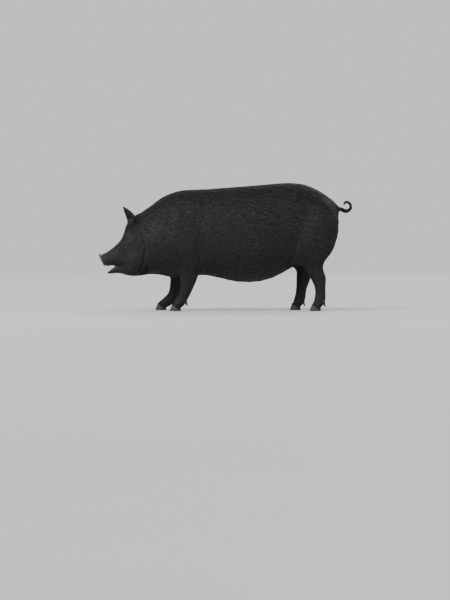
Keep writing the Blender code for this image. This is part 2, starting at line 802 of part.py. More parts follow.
def eye(head, side, centre):
    """Adds lids to the head, opens them in an almond shape and seats the eyeball."""
    look = mirrored(EYE_LOOK, side)
    level = EYE_CORNERS
    length = (level - look * level.dot(look)).normalized()
    height = look.cross(length)
    frame = Matrix((length, height, look)).transposed()
    lids = egg("lids", centre, LIDS, 16, 10, frame)
    boolean(head, lids, "UNION")
    remove(lids)
    outlines = []
    for distance in (0.0, 0.03):
        middle = centre + look * distance
        outlines.append(oval_outline(middle, length * LID_LENGTH, height * LID_OPENING, 0.25))
    socket(head, loft("opening", outlines))
    hole = EYE_RADIUS + GAP
    socket(head, egg("hole", centre, [hole] * 3, 14, 8, frame))
    ball_name = "left_eye" if side == LEFT else "right_eye"
    ball = egg(ball_name, centre, [EYE_RADIUS] * 3, 14, 8, frame)
    finish(ball, "eye")


def nose_disc():
    """The flat nose disc with a rolled rim, a shallow hollow and two nostrils."""
    across, up, ahead = frame_along(DISC_FACING)
    steps = [*DISC_STEPS, DISC_HOLLOW]
    rings = []
    for i, (distance, scale) in enumerate(steps):
        centre = DISC_BACK + ahead * (distance + (GAP if i == 0 else 0))
        width, height = DISC_HALF_WIDTH * scale, DISC_HALF_HEIGHT * scale
        rings.append(ring(centre, across, up, width, height, 2.3, 0.06, count=20))
    disc = loft("nose_disc", rings)
    for side in (LEFT, RIGHT):
        place = DISC_BACK + up * NOSTRIL_UP + Vector((0, side * NOSTRIL_OUT, 0)) + ahead * 0.015
        tilt = Matrix.Rotation(side * 0.45, 3, ahead)
        frame = tilt @ Matrix((across, up, ahead)).transposed()
        socket(disc, egg("nostril", place, NOSTRIL_HALF, 10, 6, frame))
    finish(disc, "nose")


def tongue(jaw):
    frame = Matrix.Rotation(TONGUE_TILT, 3, "Y")
    hole = [half + GAP for half in TONGUE_HALF]
    socket(jaw, egg("hole", TONGUE_PLACE, hole, 12, 6, frame))
    finish(egg("tongue", TONGUE_PLACE, TONGUE_HALF, 12, 6, frame), "tongue")


def tail():
    for i, (start, end) in enumerate(zip(TAIL_ENDS, TAIL_ENDS[1:])):
        piece = tube(f"tail_{i + 1}", TAIL, start, end, 8, 9)
        finish(piece, "skin")


def parted(whole, seats):
    """Parts the flesh with thin cuts and seats everything that grows from it."""
    for side in (LEFT, RIGHT):
        clear_beyond(whole, ear_ring(side, *EAR[0]), ear_frame(side)[1], 1.15)
        ear_name = "left_ear" if side == LEFT else "right_ear"
        finish(ear(ear_name, side), "skin")
    point, ahead, radius = tail_place(DOCK)
    across, up, ahead = frame_along(ahead)
    section = ring(point - ahead * GAP / 2, across, up, radius, radius, count=16)
    clear_beyond(whole, section, ahead, 1.5)
    cut_away(whole, [(DISC_BACK, -DISC_FACING), SNOUT_FLOOR])
    for name in STRIDE:
        limb = part_off(whole, name + "_upper", leg_planes(name))
        knee = KNEE[leg_kind(name)]
        lower = part_off(limb, name + "_lower", [(leg_point(name, knee), leg_up(name, knee))])
        cut_away(lower, cleft_planes(name))
        cut_away(lower, [(leg_point(name, BAND), BAND_UP)])
        for which, label in ((LEFT, "left"), (RIGHT, "right")):
            socket(lower, dewclaw("hole", name, which, GAP))
            finish(dewclaw(f"{name}_dewclaw_{label}", name, which), "horn")
            finish(claw(f"{name}_claw_{label}", name, which), "horn")
        finish(limb, "skin")
        finish(lower, "skin")
    head = part_off(whole, "head", [HEAD_CUT])
    lines = [along_skin("line", head, MOUTH_LINE, side, 0, MOUTH_DEPTH, 4) for side in (LEFT, RIGHT)]
    socket(head, join("lines", lines))
    jaw = part_off(head, "lower_jaw", [JAW_CUT_TOP, JAW_CUT_BACK])
    neck = part_off(whole, "neck", [NECK_CUT])
    for side in (LEFT, RIGHT):
        eye(head, side, seats[side])
    nose_disc()
    tongue(jaw)
    tail()
    finish(head, "skin")
    finish(jaw, "skin")
    finish(neck, "skin")
    whole.name = "torso"
    finish(whole, "skin")


def main():
    for old in list(bpy.data.objects):
        remove(old)
    whole, seats = flesh()
    thin(whole, FLESH_TRIANGLES)
    parted(whole, seats)


main()
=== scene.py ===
"""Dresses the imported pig: one unbroken hide with its folds and lids, a bristle coat,
horn claws, wet eyes and a tongue, on a pale studio floor.

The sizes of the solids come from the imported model. Lengths are in metres.
"""

import json
import math
from contextlib import contextmanager
from itertools import product

import bpy
import numpy as np
from bpy.props import FloatProperty, FloatVectorProperty, IntProperty, PointerProperty
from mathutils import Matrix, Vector
from mathutils.bvhtree import BVHTree

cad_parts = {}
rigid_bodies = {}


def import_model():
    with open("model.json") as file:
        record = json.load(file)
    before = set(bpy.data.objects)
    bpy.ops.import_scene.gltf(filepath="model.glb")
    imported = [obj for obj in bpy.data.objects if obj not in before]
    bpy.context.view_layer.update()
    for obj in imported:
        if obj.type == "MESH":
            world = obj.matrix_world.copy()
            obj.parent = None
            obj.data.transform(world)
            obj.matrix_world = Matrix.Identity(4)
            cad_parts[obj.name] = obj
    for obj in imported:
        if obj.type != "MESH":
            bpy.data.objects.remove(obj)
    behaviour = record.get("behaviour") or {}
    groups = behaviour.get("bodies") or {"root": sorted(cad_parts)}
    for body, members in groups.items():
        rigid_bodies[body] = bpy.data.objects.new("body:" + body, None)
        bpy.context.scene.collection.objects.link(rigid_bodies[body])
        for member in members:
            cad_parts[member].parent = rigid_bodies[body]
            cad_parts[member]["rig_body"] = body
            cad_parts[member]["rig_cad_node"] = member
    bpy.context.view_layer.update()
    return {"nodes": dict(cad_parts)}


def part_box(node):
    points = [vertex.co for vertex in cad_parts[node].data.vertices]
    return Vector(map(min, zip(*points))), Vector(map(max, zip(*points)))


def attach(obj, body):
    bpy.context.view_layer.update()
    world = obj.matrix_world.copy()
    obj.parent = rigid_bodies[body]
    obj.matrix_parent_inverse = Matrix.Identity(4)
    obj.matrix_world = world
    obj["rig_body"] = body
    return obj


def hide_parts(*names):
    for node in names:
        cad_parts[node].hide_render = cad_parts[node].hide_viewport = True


bl_info = {
    "name": "Domestic pig",
    "version": (1, 0, 0),
    "blender": (4, 5, 0),
    "location": "3D View > Sidebar > Pig",
    "description": "Builds the hide, coat, eyes, tongue and claws of a standing pig round its solid model",
    "category": "Object",
}

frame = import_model()

SIDES = {"left": -1, "right": 1}
FEET = ("left_foreleg", "right_foreleg", "left_hindleg", "right_hindleg")
REGIONS = {
    "face": ("head", "lower_jaw"),
    "nose": ("nose_disc",),
    "trunk": ("neck", "torso"),
    "ears": ("left_ear", "right_ear"),
    "tail": ("tail_1", "tail_2", "tail_3"),
    "upper": tuple(foot + "_upper" for foot in FEET),
    "lower": tuple(foot + "_lower" for foot in FEET),
}
FLESH = tuple(name for names in REGIONS.values() for name in names)
CLAWS = tuple(f"{foot}_claw_{side}" for foot in FEET for side in SIDES)
DEWCLAWS = tuple(f"{foot}_dewclaw_{side}" for foot in FEET for side in SIDES)
PARTS = {**REGIONS, "cuff": (*CLAWS, *DEWCLAWS)}

# How far the skin lies below the solid's surface, which is the outside of the coat. The thin
# ears and tail stand a hair's breadth out of it, and the cuffs of skin lie over the claws.
COAT_DEPTH = {
    "face": 0.0010, "nose": 0.0002, "trunk": 0.0028, "ears": -0.0003, "tail": -0.0004,
    "upper": 0.0020, "lower": 0.0008, "cuff": -0.0016,
}
# How much each part is evened, from 0 to 1, and how far the parts run into one another
SMOOTHNESS = {
    "face": 0.25, "nose": 0.12, "trunk": 1.0, "ears": 0.30, "tail": 0.14, "upper": 0.75, "lower": 0.45,
    "cuff": 0.20,
}
SPREAD = {"trunk": 40, "upper": 40, "face": 14}
USUAL_SPREAD = 5
# Rounds of smoothing, and the smoothness from which each is felt
SMOOTHING = ((6, 0.0), (14, 0.15), (30, 0.40), (240, 0.70))

# Claws: the way up across their top, how far down the skin's cuff reaches over claw and
# dewclaw, and how much thinner the horn is under it
BAND_UP = Vector((0.5, 0, 0.866))
CUFF_REACH = {"claw": 0.0090, "dewclaw": 0.0110}
CUFF_ROOM = 0.0022

# Heights of the vent and the vulva, and the two lumps that make the vulva: place, half sizes
REAR_HEIGHTS = (0.598, 0.548)
VULVA = (((-0.004, 0, 0.002), (0.0130, 0.0150, 0.0200)), ((-0.001, 0, -0.017), (0.0085, 0.0080, 0.0110)))

# Teats: places along the belly, distance of each row from the middle, half sizes
TEAT_PLACES = (-0.060, 0.010, 0.080, 0.150, 0.220, 0.290)
TEAT_ROW = 0.052
TEAT_SIZE = (0.0088, 0.0088, 0.0080)

# Eyes: the line of sight, the way the corners lie, the ball and the opening of the lids
EYE_LOOK = Vector((-0.48, 0.85, 0.12)).normalized()
EYE_CORNERS = Vector((-0.92, 0, -0.38))
BALL_RADIUS = 0.0128
LID_HALF_LENGTH = 0.0112
UPPER_LID, LOWER_LID = 0.0056, 0.0048

# Lids: points of the opening's outline, how full its arches are, reach of the shaping, how
# near a vertex is laid on the opening, thickness, the width over which the edge is rounded,
# the blend into the hide, the moist edge, and how deep the hide lies behind the opening
LID_POINTS = 160
LID_ARCH = 0.3
LID_REACH = 0.045
LID_SNAP = 0.00045
LID_THICKNESS = 0.0026
LID_ROUND = 0.0030
LID_BLEND = 0.0016
WET_EDGE = 0.0016
BEHIND_LIDS = 0.0030
# Folds of the lids: distance from the opening, half width, depth, above (1) or below (-1)
LID_FOLDS = (
    (0.0052, 0.0008, 0.0013, 1),
    (0.0088, 0.0012, 0.0012, 1),
    (0.0135, 0.0016, 0.0010, 1),
    (0.0048, 0.0009, 0.0008, -1),
    (0.0085, 0.0013, 0.0008, -1),
    (0.0130, 0.0016, 0.0006, -1),
)

# Ears: root, tip, the way the cup opens, and the reach of the front and the back edge by
# distance along the ear
EAR_ROOT = Vector((-0.584, 0.066, 0.545))
EAR_TIP = Vector((-0.633, 0.108, 0.645))
EAR_OPENING = Vector((-0.75, 0.66, 0))
EAR_REACH = (
    (0.000, 0.024, 0.040, 0.058, 0.078, 0.096, 0.109, 0.120),
    (0.034, 0.037, 0.036, 0.033, 0.027, 0.020, 0.012, 0.004),
    (0.034, 0.048, 0.056, 0.057, 0.048, 0.034, 0.019, 0.005),
)
CONCH_DEPTH = 0.012
EAR_RIDGES = (-0.010, 0.004, 0.018)
RIDGE_WIDTH, RIDGE_HEIGHT = 0.0024, 0.0010

# Nose disc: its back, the way it faces, its half sizes and how square it is, and the height
# of its front over its back by distance from the middle
DISC_BACK = Vector((-0.7605, 0, 0.3205))
DISC_FACING = Vector((-0.902, 0, -0.432)).normalized()
DISC_HALF = (0.057, 0.043)
DISC_SQUARENESS = 2.3
DISC_PROFILE = ((0, 0.45, 0.72, 0.84, 0.92, 1.0), (0.0142, 0.0148, 0.0162, 0.0160, 0.0146, 0.0122))
DISC_GROOVE = (0.0017, 0.0011)
RIM_NOTCHES = 46

# Nostrils: place across and up, half sizes, tilt, depth, and what fills them at first
NOSTRIL_PLACE = (0.0205, 0.0030)
NOSTRIL_HALF = (0.0098, 0.0072)
NOSTRIL_TILT = 0.45
NOSTRIL_DEPTH = 0.0125
NOSTRIL_FILL = (0.0085, 0.0125, 0.0120)

NOSE_TIP = Vector((-0.83, 0, 0.29))
MOUTH_MIDDLE = Vector((-0.700, 0, 0.2640))
MOUTH_LINING = (0.050, 0.040, 0.020)
MOUTH_BARE = (0.052, 0.046, 0.024)

# The ribs under the skin: how far apart, how far they lean back, height
RIB_SPACING, RIB_LEAN, RIB_HEIGHT = 0.052, 0.30, 0.0005


def linear(code):
    """An sRGB hex colour as the linear values that shaders take."""
    parts = [int(code[i:i + 2], 16) / 255 for i in (1, 3, 5)]
    return [p / 12.92 if p <= 0.04045 else ((p + 0.055) / 1.055) ** 2.4 for p in parts]


def mirrored(vector, side):
    """A place or a way on one side of the animal, given for its right side."""
    return Vector((vector.x, vector.y * side, vector.z))


# Objects

def only(thing):
    """Leaves one object selected and active."""
    bpy.ops.object.select_all(action="DESELECT")
    thing.select_set(True)
    bpy.context.view_layer.objects.active = thing


def added(name):
    """The object that an operator has just added, with its name."""
    thing = bpy.context.view_layer.objects.active
    thing.name = thing.data.name = name
    return thing


def modify(thing, kind, **settings):
    """Adds a modifier, sets it and applies it."""
    only(thing)
    modifier = thing.modifiers.new(kind.lower(), kind)
    for name, value in settings.items():
        setattr(modifier, name, value)
    bpy.ops.object.modifier_apply(modifier=modifier.name)


@contextmanager
def editing(thing, kind="VERT", chosen=None):
    """Edit mode on one object, with all of it selected, or only the chosen vertices or faces."""
    only(thing)
    bpy.ops.object.mode_set(mode="EDIT")
    if chosen is None:
        bpy.ops.mesh.select_all(action="SELECT")
    else:
        bpy.ops.mesh.select_mode(type=kind)
        bpy.ops.mesh.select_all(action="DESELECT")
        bpy.ops.object.mode_set(mode="OBJECT")
        items = thing.data.polygons if kind == "FACE" else thing.data.vertices
        items.foreach_set("select", chosen)
        bpy.ops.object.mode_set(mode="EDIT")
    yield
    bpy.ops.object.mode_set(mode="OBJECT")


def take_copy(name, nodes):
    """One merged object made from copies of CAD nodes."""
    bpy.ops.object.select_all(action="DESELECT")
    for part in nodes:
        frame["nodes"][part].select_set(True)
    bpy.context.view_layer.objects.active = frame["nodes"][nodes[0]]
    bpy.ops.object.duplicate()
    if len(nodes) > 1:
        bpy.ops.object.join()
    bpy.ops.object.parent_clear(type="CLEAR_KEEP_TRANSFORM")
    thing = added(name)
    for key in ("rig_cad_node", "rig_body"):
        del thing[key]
    thing.data.materials.clear()
    with editing(thing):
        bpy.ops.mesh.remove_doubles(threshold=0.00001)
    if thing.data.has_custom_normals:
        bpy.ops.mesh.customdata_custom_splitnormals_clear()
    return thing


def join(things, name):
    """Makes one object of several."""
    only(things[0])
    for thing in things:
        thing.select_set(True)
    bpy.ops.object.join()
    return added(name)


def mesh_object(name, points, faces):
    """A mesh from an array of points and an array of triangles."""
    mesh = bpy.data.meshes.new(name)
    mesh.vertices.add(len(points))
    mesh.vertices.foreach_set("co", points.astype(np.float32).ravel())
    mesh.loops.add(faces.size)
    mesh.loops.foreach_set("vertex_index", faces.astype(np.int32).ravel())
    mesh.polygons.add(len(faces))
    mesh.polygons.foreach_set("loop_start", np.arange(len(faces), dtype=np.int32) * 3)
    mesh.update(calc_edges=True)
    thing = bpy.data.objects.new(name, mesh)
    bpy.context.scene.collection.objects.link(thing)
    return thing


def dress(thing, material):
    """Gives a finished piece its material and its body."""
    thing.data.materials.clear()
    thing.data.materials.append(material)
    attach(thing, "root")


# Meshes as arrays

def read(items, field, width, kind=np.float32):
    """One field of all the vertices, edges, faces or corners of a mesh, a row for each."""
    flat = np.empty(len(items) * width, kind)
    items.foreach_get(field, flat)
    return flat.reshape(-1, width)


def places(thing):
    """The vertices of a mesh as an array of points."""
    return read(thing.data.vertices, "co", 3).astype(float)


def set_places(thing, points):
    """Moves the vertices of a mesh."""
    thing.data.vertices.foreach_set("co", points.astype(np.float32).ravel())
    thing.data.update()


def outward(thing):
    """The way out of a mesh at each vertex."""
    return read(thing.data.vertex_normals, "vector", 3).astype(float)


def attribute(thing, name, values):
    """Keeps a value for each vertex, for the materials."""
    layer = thing.data.attributes.new(name, "FLOAT", "POINT")
    layer.data.foreach_set("value", values.astype(np.float32))


def attribute_values(thing, name):
    """A kept value of each vertex."""
    return read(thing.data.attributes[name].data, "value", 1)[:, 0].astype(float)


def kept_masks(thing):
    """For each part, how much each vertex belongs to it, from 0 to 1."""
    return {name: attribute_values(thing, "part_" + name) for name in PARTS}


def vertex_group(thing, name, weights):
    """A vertex group with a weight for each vertex, in steps of a fiftieth."""
    group = thing.vertex_groups.new(name=name)
    level = np.round(np.clip(weights, 0, 1) * 50).astype(int)
    for share in np.unique(level):
        if share:
            group.add(np.nonzero(level == share)[0].tolist(), share / 50, "REPLACE")


def smooth(thing, weights, repeats):
    """Evens a mesh, as much at each vertex as its weight says."""
    vertex_group(thing, "even", weights)
    modify(thing, "SMOOTH", factor=0.5, iterations=repeats, vertex_group="even")
    thing.vertex_groups.clear()


def soften(values, edges, repeats):
    """Averages values with their neighbours' along the edges of a mesh."""
    a, b = edges.T
    size = len(values)
    count = np.maximum(np.bincount(a, minlength=size) + np.bincount(b, minlength=size), 1)
    for _ in range(repeats):
        total = np.bincount(a, values[b], size) + np.bincount(b, values[a], size)
        values = 0.5 * values + 0.5 * total / count
    return values


def unit(vectors):
    """Vectors made one long."""
    return vectors / np.maximum(np.linalg.norm(vectors, axis=-1, keepdims=True), 1e-12)


def step(value, low, high):
    """Rises smoothly from 0 at low to 1 at high."""
    share = np.clip((value - low) / (high - low), 0, 1)
    return share * share * (3 - 2 * share)


def hill(distance, width):
    """Falls smoothly from 1 at no distance to nearly 0 past two widths."""
    return np.exp(-((distance / width) ** 2))


def wander(points, size, seed):
    """A smooth uneven value of about -1 to 1 that changes over the given size."""
    rng = np.random.default_rng(seed)
    total = np.zeros(len(points))
    for _ in range(6):
        direction = unit(rng.normal(size=3)) * rng.uniform(0.6, 1.5) * 2 * math.pi / size
        total += np.sin(points @ direction + rng.uniform(0, 2 * math.pi))
    return total / 2.5


def distance_to(spots, centres):
    """How far each spot is from the nearest of some centres."""
    return np.min([np.linalg.norm(spots - centre, axis=1) for centre in centres], axis=0)


def near(spots, centres, radius):
    """Which spots lie within a radius of any centre."""
    return distance_to(spots, centres) < radius


def to_line(spots, line):
    """Distance of flat spots from a line of several stretches, and how far along it they lie."""
    best = np.full(len(spots), np.inf)
    along = np.zeros(len(spots))
    corners = np.array(line, float)
    count = len(corners) - 1
    for i in range(count):
        start, way = corners[i], corners[i + 1] - corners[i]
        share = np.clip((spots - start) @ way / (way @ way), 0, 1)
        distance = np.linalg.norm(spots - start - share[:, None] * way, axis=1)
        nearer = distance < best
        best[nearer] = distance[nearer]
        along[nearer] = (i + share[nearer]) / count
    return best, along


# Materials

# Sockets of a Mix node, which are told apart by their place
FACTOR, NUMBER_A, NUMBER_B, COLOUR_A, COLOUR_B = 0, 2, 3, 6, 7
NUMBER_OUT, COLOUR_OUT = 0, 2
MULTIPLY = {"data_type": "RGBA", "blend_type": "MULTIPLY"}

# How the fine hair lies on the hide: its size along x, y and z in millimetres, and its turn
HAIR_LIES = {
    "back": ((22.222, 1.25, 1.25), (0, 0, 0)),
    "down": ((1.1111, 1.1111, 16.667), (0, 0, 0)),
    "face": ((11.111, 1.0, 1.0), (0, 0.85, 0)),
}


def blank(name):
    """A new material with its shader, ready for nodes."""
    material = bpy.data.materials.new(name)
    material.use_nodes = True
    return material, material.node_tree.nodes["Principled BSDF"]


def wire(made, links=None, values=None):
    """Sets a node's inputs and links them."""
    for socket, value in (values or {}).items():
        made.inputs[socket].default_value = value
    for socket, source in (links or {}).items():
        made.id_data.links.new(source, made.inputs[socket])


def node(material, kind, out, links=None, values=None, stops=(), **settings):
    """Adds a node, sets its properties, colour stops and inputs, and gives one output."""
    made = material.node_tree.nodes.new("ShaderNode" + kind)
    for name, value in settings.items():
        setattr(made, name, value)
    if stops:
        elements = made.color_ramp.elements
        while len(elements) < len(stops):
            elements.new(0.5)
        for element, (place, colour) in zip(elements, stops):
            element.position = place
            element.color = (*colour, 1)
    wire(made, links, values)
    return made.outputs[out]


def per_metre(millimetres):
    """The scale of a pattern whose grain has the given size."""
    return 1000 / millimetres


def grey(value):
    """A grey of a given lightness."""
    return (value, value, value)


def hide_material(looks):
    """Live pig hide: slate-black, dull and a little mottled, with fine hair lying on it.

    The nose disc is bare and moist, and the mouth is wet and pinkish grey.
    """
    material, shader = blank("live_pig_hide")
    at = node(material, "TexCoord", "Object")
    mottle = node(
        material, "TexNoise", "Fac", {"Vector": at},
        {"Scale": per_metre(90.909), "Detail": 4.0, "Roughness": 0.6},
    )
    base = node(
        material, "ValToRGB", "Color", {"Fac": mottle},
        stops=((0.32, looks.skin_dark), (0.72, looks.skin_light)),
    )
    # Fine hair between the bristles, lying backwards on the trunk, down the legs and back
    # along the face
    hair = None
    for lie, (grain, turn) in HAIR_LIES.items():
        scale = [per_metre(size) for size in grain]
        mapped = node(material, "Mapping", "Vector", {"Vector": at}, {"Scale": scale, "Rotation": turn})
        streak = node(material, "TexNoise", "Fac", {"Vector": mapped}, {"Scale": 1.0, "Detail": 2.0})
        if hair is None:
            hair = streak
            continue
        mask = node(material, "Attribute", "Fac", attribute_name=lie)
        links = {FACTOR: mask, NUMBER_A: hair, NUMBER_B: streak}
        hair = node(material, "Mix", NUMBER_OUT, links, data_type="FLOAT")
    tone = node(material, "ValToRGB", "Color", {"Fac": hair}, stops=((0.36, grey(0.5)), (0.62, grey(1.0))))
    colour = node(material, "Mix", COLOUR_OUT, {COLOUR_A: base, COLOUR_B: tone}, {FACTOR: 0.85}, **MULTIPLY)
    rough = node(material, "MapRange", "Result", {"Value": mottle}, {"To Min": 0.50, "To Max": 0.66})
    # Of these masks the last paints shade: it lays a near-black colour where shade falls deep in the nostrils
    # and the conch of the ears
    for name, tint, shine in (
        ("bare", looks.nose_colour, 0.36), ("mouth", looks.mouth_colour, 0.26),
        ("rim", linear("#14100f"), 0.30), ("dark", linear("#0d0a0a"), 0.45),
    ):
        mask = node(material, "Attribute", "Fac", attribute_name=name)
        colour = node(
            material, "Mix", COLOUR_OUT, {FACTOR: mask, COLOUR_A: colour}, {COLOUR_B: (*tint, 1)},
            data_type="RGBA",
        )
        rough = node(
            material, "Mix", NUMBER_OUT, {FACTOR: mask, NUMBER_A: rough}, {NUMBER_B: shine}, data_type="FLOAT"
        )
    # The bare skin of the nose disc has pores about 2 mm apart in place of hair
    pores = node(material, "TexVoronoi", "Distance", {"Vector": at}, {"Scale": per_metre(2.381)})
    bare = node(material, "Attribute", "Fac", attribute_name="bare")
    links = {FACTOR: bare, NUMBER_A: hair, NUMBER_B: pores}
    relief = node(material, "Mix", NUMBER_OUT, links, data_type="FLOAT")
    bump = node(material, "Bump", "Normal", {"Height": relief}, {"Strength": 0.8, "Distance": 0.0009})
    wire(
        shader, {"Base Color": colour, "Roughness": rough, "Normal": bump},
        {"IOR": 1.44, "Specular IOR Level": 0.38, "Sheen Weight": 0.05},
    )
    return material


def bristle_material(looks):
    """Black pig bristles: coarse grown keratin, glossy along its length, browner at the tips."""
    material, shader = blank("black_bristle")
    along = node(material, "Attribute", "Fac", attribute_name="along")
    shade = node(material, "Attribute", "Fac", attribute_name="shade")
    root = node(
        material, "ValToRGB", "Color", {"Fac": shade},
        stops=((0.0, looks.hair_dark), (0.7, looks.hair_mid), (1.0, looks.hair_light)),
    )
    tips = node(
        material, "ValToRGB", "Color", {"Fac": along}, stops=((0.3, grey(1.0)), (1.0, (1.6, 1.5, 1.4)))
    )
    colour = node(material, "Mix", COLOUR_OUT, {COLOUR_A: root, COLOUR_B: tips}, {FACTOR: 1.0}, **MULTIPLY)
    rough = node(material, "MapRange", "Result", {"Value": shade}, {"To Min": 0.44, "To Max": 0.60})
    # The gaps between the hairs of a tuft swallow part of their gloss
    wire(shader, {"Base Color": colour, "Roughness": rough}, {"IOR": 1.55, "Specular IOR Level": 0.30})
    return material


def horn_material(looks):
    """Claw horn: grown keratin, dull and dark, in faint rings, paler where the ground wears it."""
    material, shader = blank("grown_claw_horn")
    at = node(material, "TexCoord", "Object")
    level = node(material, "SeparateXYZ", "Z", {"Vector": at})
    # Growth rings about 6 mm apart, waved a little: a wave texture has 20 / (2 pi) bands to
    # the unit at a scale of 1
    wave = node(
        material, "TexWave", "Fac", {"Vector": at}, {"Scale": 52.0, "Distortion": 5.0, "Detail": 2.0},
        bands_direction="Z",
    )
    cloud = node(material, "TexNoise", "Fac", {"Vector": at}, {"Scale": per_metre(11.111), "Detail": 4.0})
    base = node(
        material, "ValToRGB", "Color", {"Fac": cloud},
        stops=((0.3, looks.horn_dark), (0.75, looks.horn_light)),
    )
    bands = node(material, "ValToRGB", "Color", {"Fac": wave}, stops=((0.0, grey(0.82)), (1.0, grey(1.0))))
    colour = node(material, "Mix", COLOUR_OUT, {COLOUR_A: base, COLOUR_B: bands}, {FACTOR: 0.8}, **MULTIPLY)
    # The lowest 10 mm are scuffed
    worn = node(
        material, "MapRange", "Result", {"Value": level},
        {"From Min": 0.0, "From Max": 0.010, "To Min": 0.65, "To Max": 0.0},
    )
    scuff = (*linear("#423c36"), 1)
    colour = node(
        material, "Mix", COLOUR_OUT, {FACTOR: worn, COLOUR_A: colour}, {COLOUR_B: scuff}, data_type="RGBA"
    )
    bump = node(material, "Bump", "Normal", {"Height": wave}, {"Strength": 0.5, "Distance": 0.0004})
    rough = node(material, "MapRange", "Result", {"Value": cloud}, {"To Min": 0.42, "To Max": 0.62})
    wire(shader, {"Base Color": colour, "Normal": bump, "Roughness": rough}, {"IOR": 1.54})
    return material


def eye_material(looks):
    """A wet eye: clear cornea over a dark brown iris with a black pupil."""
    material, shader = blank("wet_eyeball")
    gaze = node(material, "Attribute", "Fac", attribute_name="gaze")
    at = node(material, "TexCoord", "Object")
    fibres = node(material, "TexNoise", "Fac", {"Vector": at}, {"Scale": per_metre(1.1111), "Detail": 3.0})
    # Pupil, iris, the dark ring round it and the white, which is brown in a black pig
    ring = node(
        material, "ValToRGB", "Color", {"Fac": gaze},
        stops=(
            (0.0, linear("#030202")), (0.24, linear("#040303")), (0.29, looks.iris),
            (0.52, linear("#120905")), (0.60, linear("#0c0705")), (0.70, linear("#1d1715")),
            (1.0, linear("#2a2320")),
        ),
    )
    streak = node(material, "ValToRGB", "Color", {"Fac": fibres}, stops=((0.3, grey(0.7)), (0.7, grey(1.2))))
    colour = node(material, "Mix", COLOUR_OUT, {COLOUR_A: ring, COLOUR_B: streak}, {FACTOR: 0.7}, **MULTIPLY)
    wire(shader, {"Base Color": colour}, {"Roughness": 0.05, "IOR": 1.376})
    return material


def tongue_material(looks):
    """A live tongue: wet pink-grey flesh with fine papillae, which break up its shine."""
    material, shader = blank("moist_tongue_flesh")
    at = node(material, "TexCoord", "Object")
    cloud = node(material, "TexNoise", "Fac", {"Vector": at}, {"Scale": per_metre(8.3333), "Detail": 3.0})
    grain = node(material, "TexVoronoi", "Distance", {"Vector": at}, {"Scale": per_metre(1.1111)})
    colour = node(
        material, "ValToRGB", "Color", {"Fac": cloud},
        stops=((0.3, looks.tongue_dark), (0.7, looks.tongue_light)),
    )
    bump = node(material, "Bump", "Normal", {"Height": grain}, {"Strength": 0.5, "Distance": 0.0005})
    rough = node(material, "MapRange", "Result", {"Value": cloud}, {"To Min": 0.24, "To Max": 0.38})
    wire(
        shader, {"Base Color": colour, "Normal": bump, "Roughness": rough},
        {"IOR": 1.4, "Subsurface Weight": 0.15, "Subsurface Radius": (0.004, 0.0015, 0.001)},
    )
    return material


def floor_material(looks):
    """A matt painted studio floor, pale and nearly even."""
    material, shader = blank("painted_studio_floor")
    at = node(material, "TexCoord", "Object")
    cloud = node(material, "TexNoise", "Fac", {"Vector": at}, {"Scale": per_metre(1250), "Detail": 3.0})
    dull = [part * 0.97 for part in looks.floor_colour]
    colour = node(
        material, "ValToRGB", "Color", {"Fac": cloud}, stops=((0.3, dull), (0.7, looks.floor_colour))
    )
    wire(shader, {"Base Color": colour}, {"Roughness": 0.75})
    return material


# Hide

def region_of(points):
    """For each point, the number of the part in PARTS whose solids are nearest."""
    corners, faces, owner = [], [], []
    for index, names in enumerate(PARTS.values()):
        for name in names:
            mesh = frame["nodes"][name].data
            offset = len(corners)
            corners.extend(v.co.copy() for v in mesh.vertices)
            mesh.calc_loop_triangles()
            for triangle in mesh.loop_triangles:
                faces.append([offset + v for v in triangle.vertices])
                owner.append(index)
    tree = BVHTree.FromPolygons(corners, faces)
    nearest = [tree.find_nearest(point)[2] for point in points]
    return np.array(owner)[nearest]


def refine(thing, wanted):
    """Splits the faces whose middle is wanted, so that they can take finer shapes."""
    with editing(thing, "FACE", wanted(read(thing.data.polygons, "center", 3))):
        bpy.ops.mesh.subdivide(number_cuts=1)


def eye_frames():
    """Each eye's middle and its length, height and sight directions."""
    found = {}
    for name, side in SIDES.items():
        low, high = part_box(name + "_eye")
        look = mirrored(EYE_LOOK, side)
        length = (EYE_CORNERS - look * EYE_CORNERS.dot(look)).normalized()
        height = look.cross(length) * side * -1
        if height.z < 0:
            height.negate()
        found[name] = (np.array((low + high) / 2), np.array((length, height, look)))
    return found


def eye_middles():
    """The middles of both eyes."""
    return [centre for centre, _ in eye_frames().values()]


def lid_edge():
    """The outline between the lids, seen along the line of sight: upper arch, then lower."""
    turns = np.linspace(0, 2 * math.pi, LID_POINTS, endpoint=False)
    rise = np.sin(turns) * np.abs(np.sin(turns)) ** LID_ARCH
    height = np.where(rise > 0, UPPER_LID, LOWER_LID)
    return np.stack((LID_HALF_LENGTH * np.cos(turns), rise * height), axis=1)


def dome(radius, away):
    """How high a ball stands over its middle at a distance from its axis."""
    return np.sqrt(np.clip(radius ** 2 - away ** 2, 0, None))


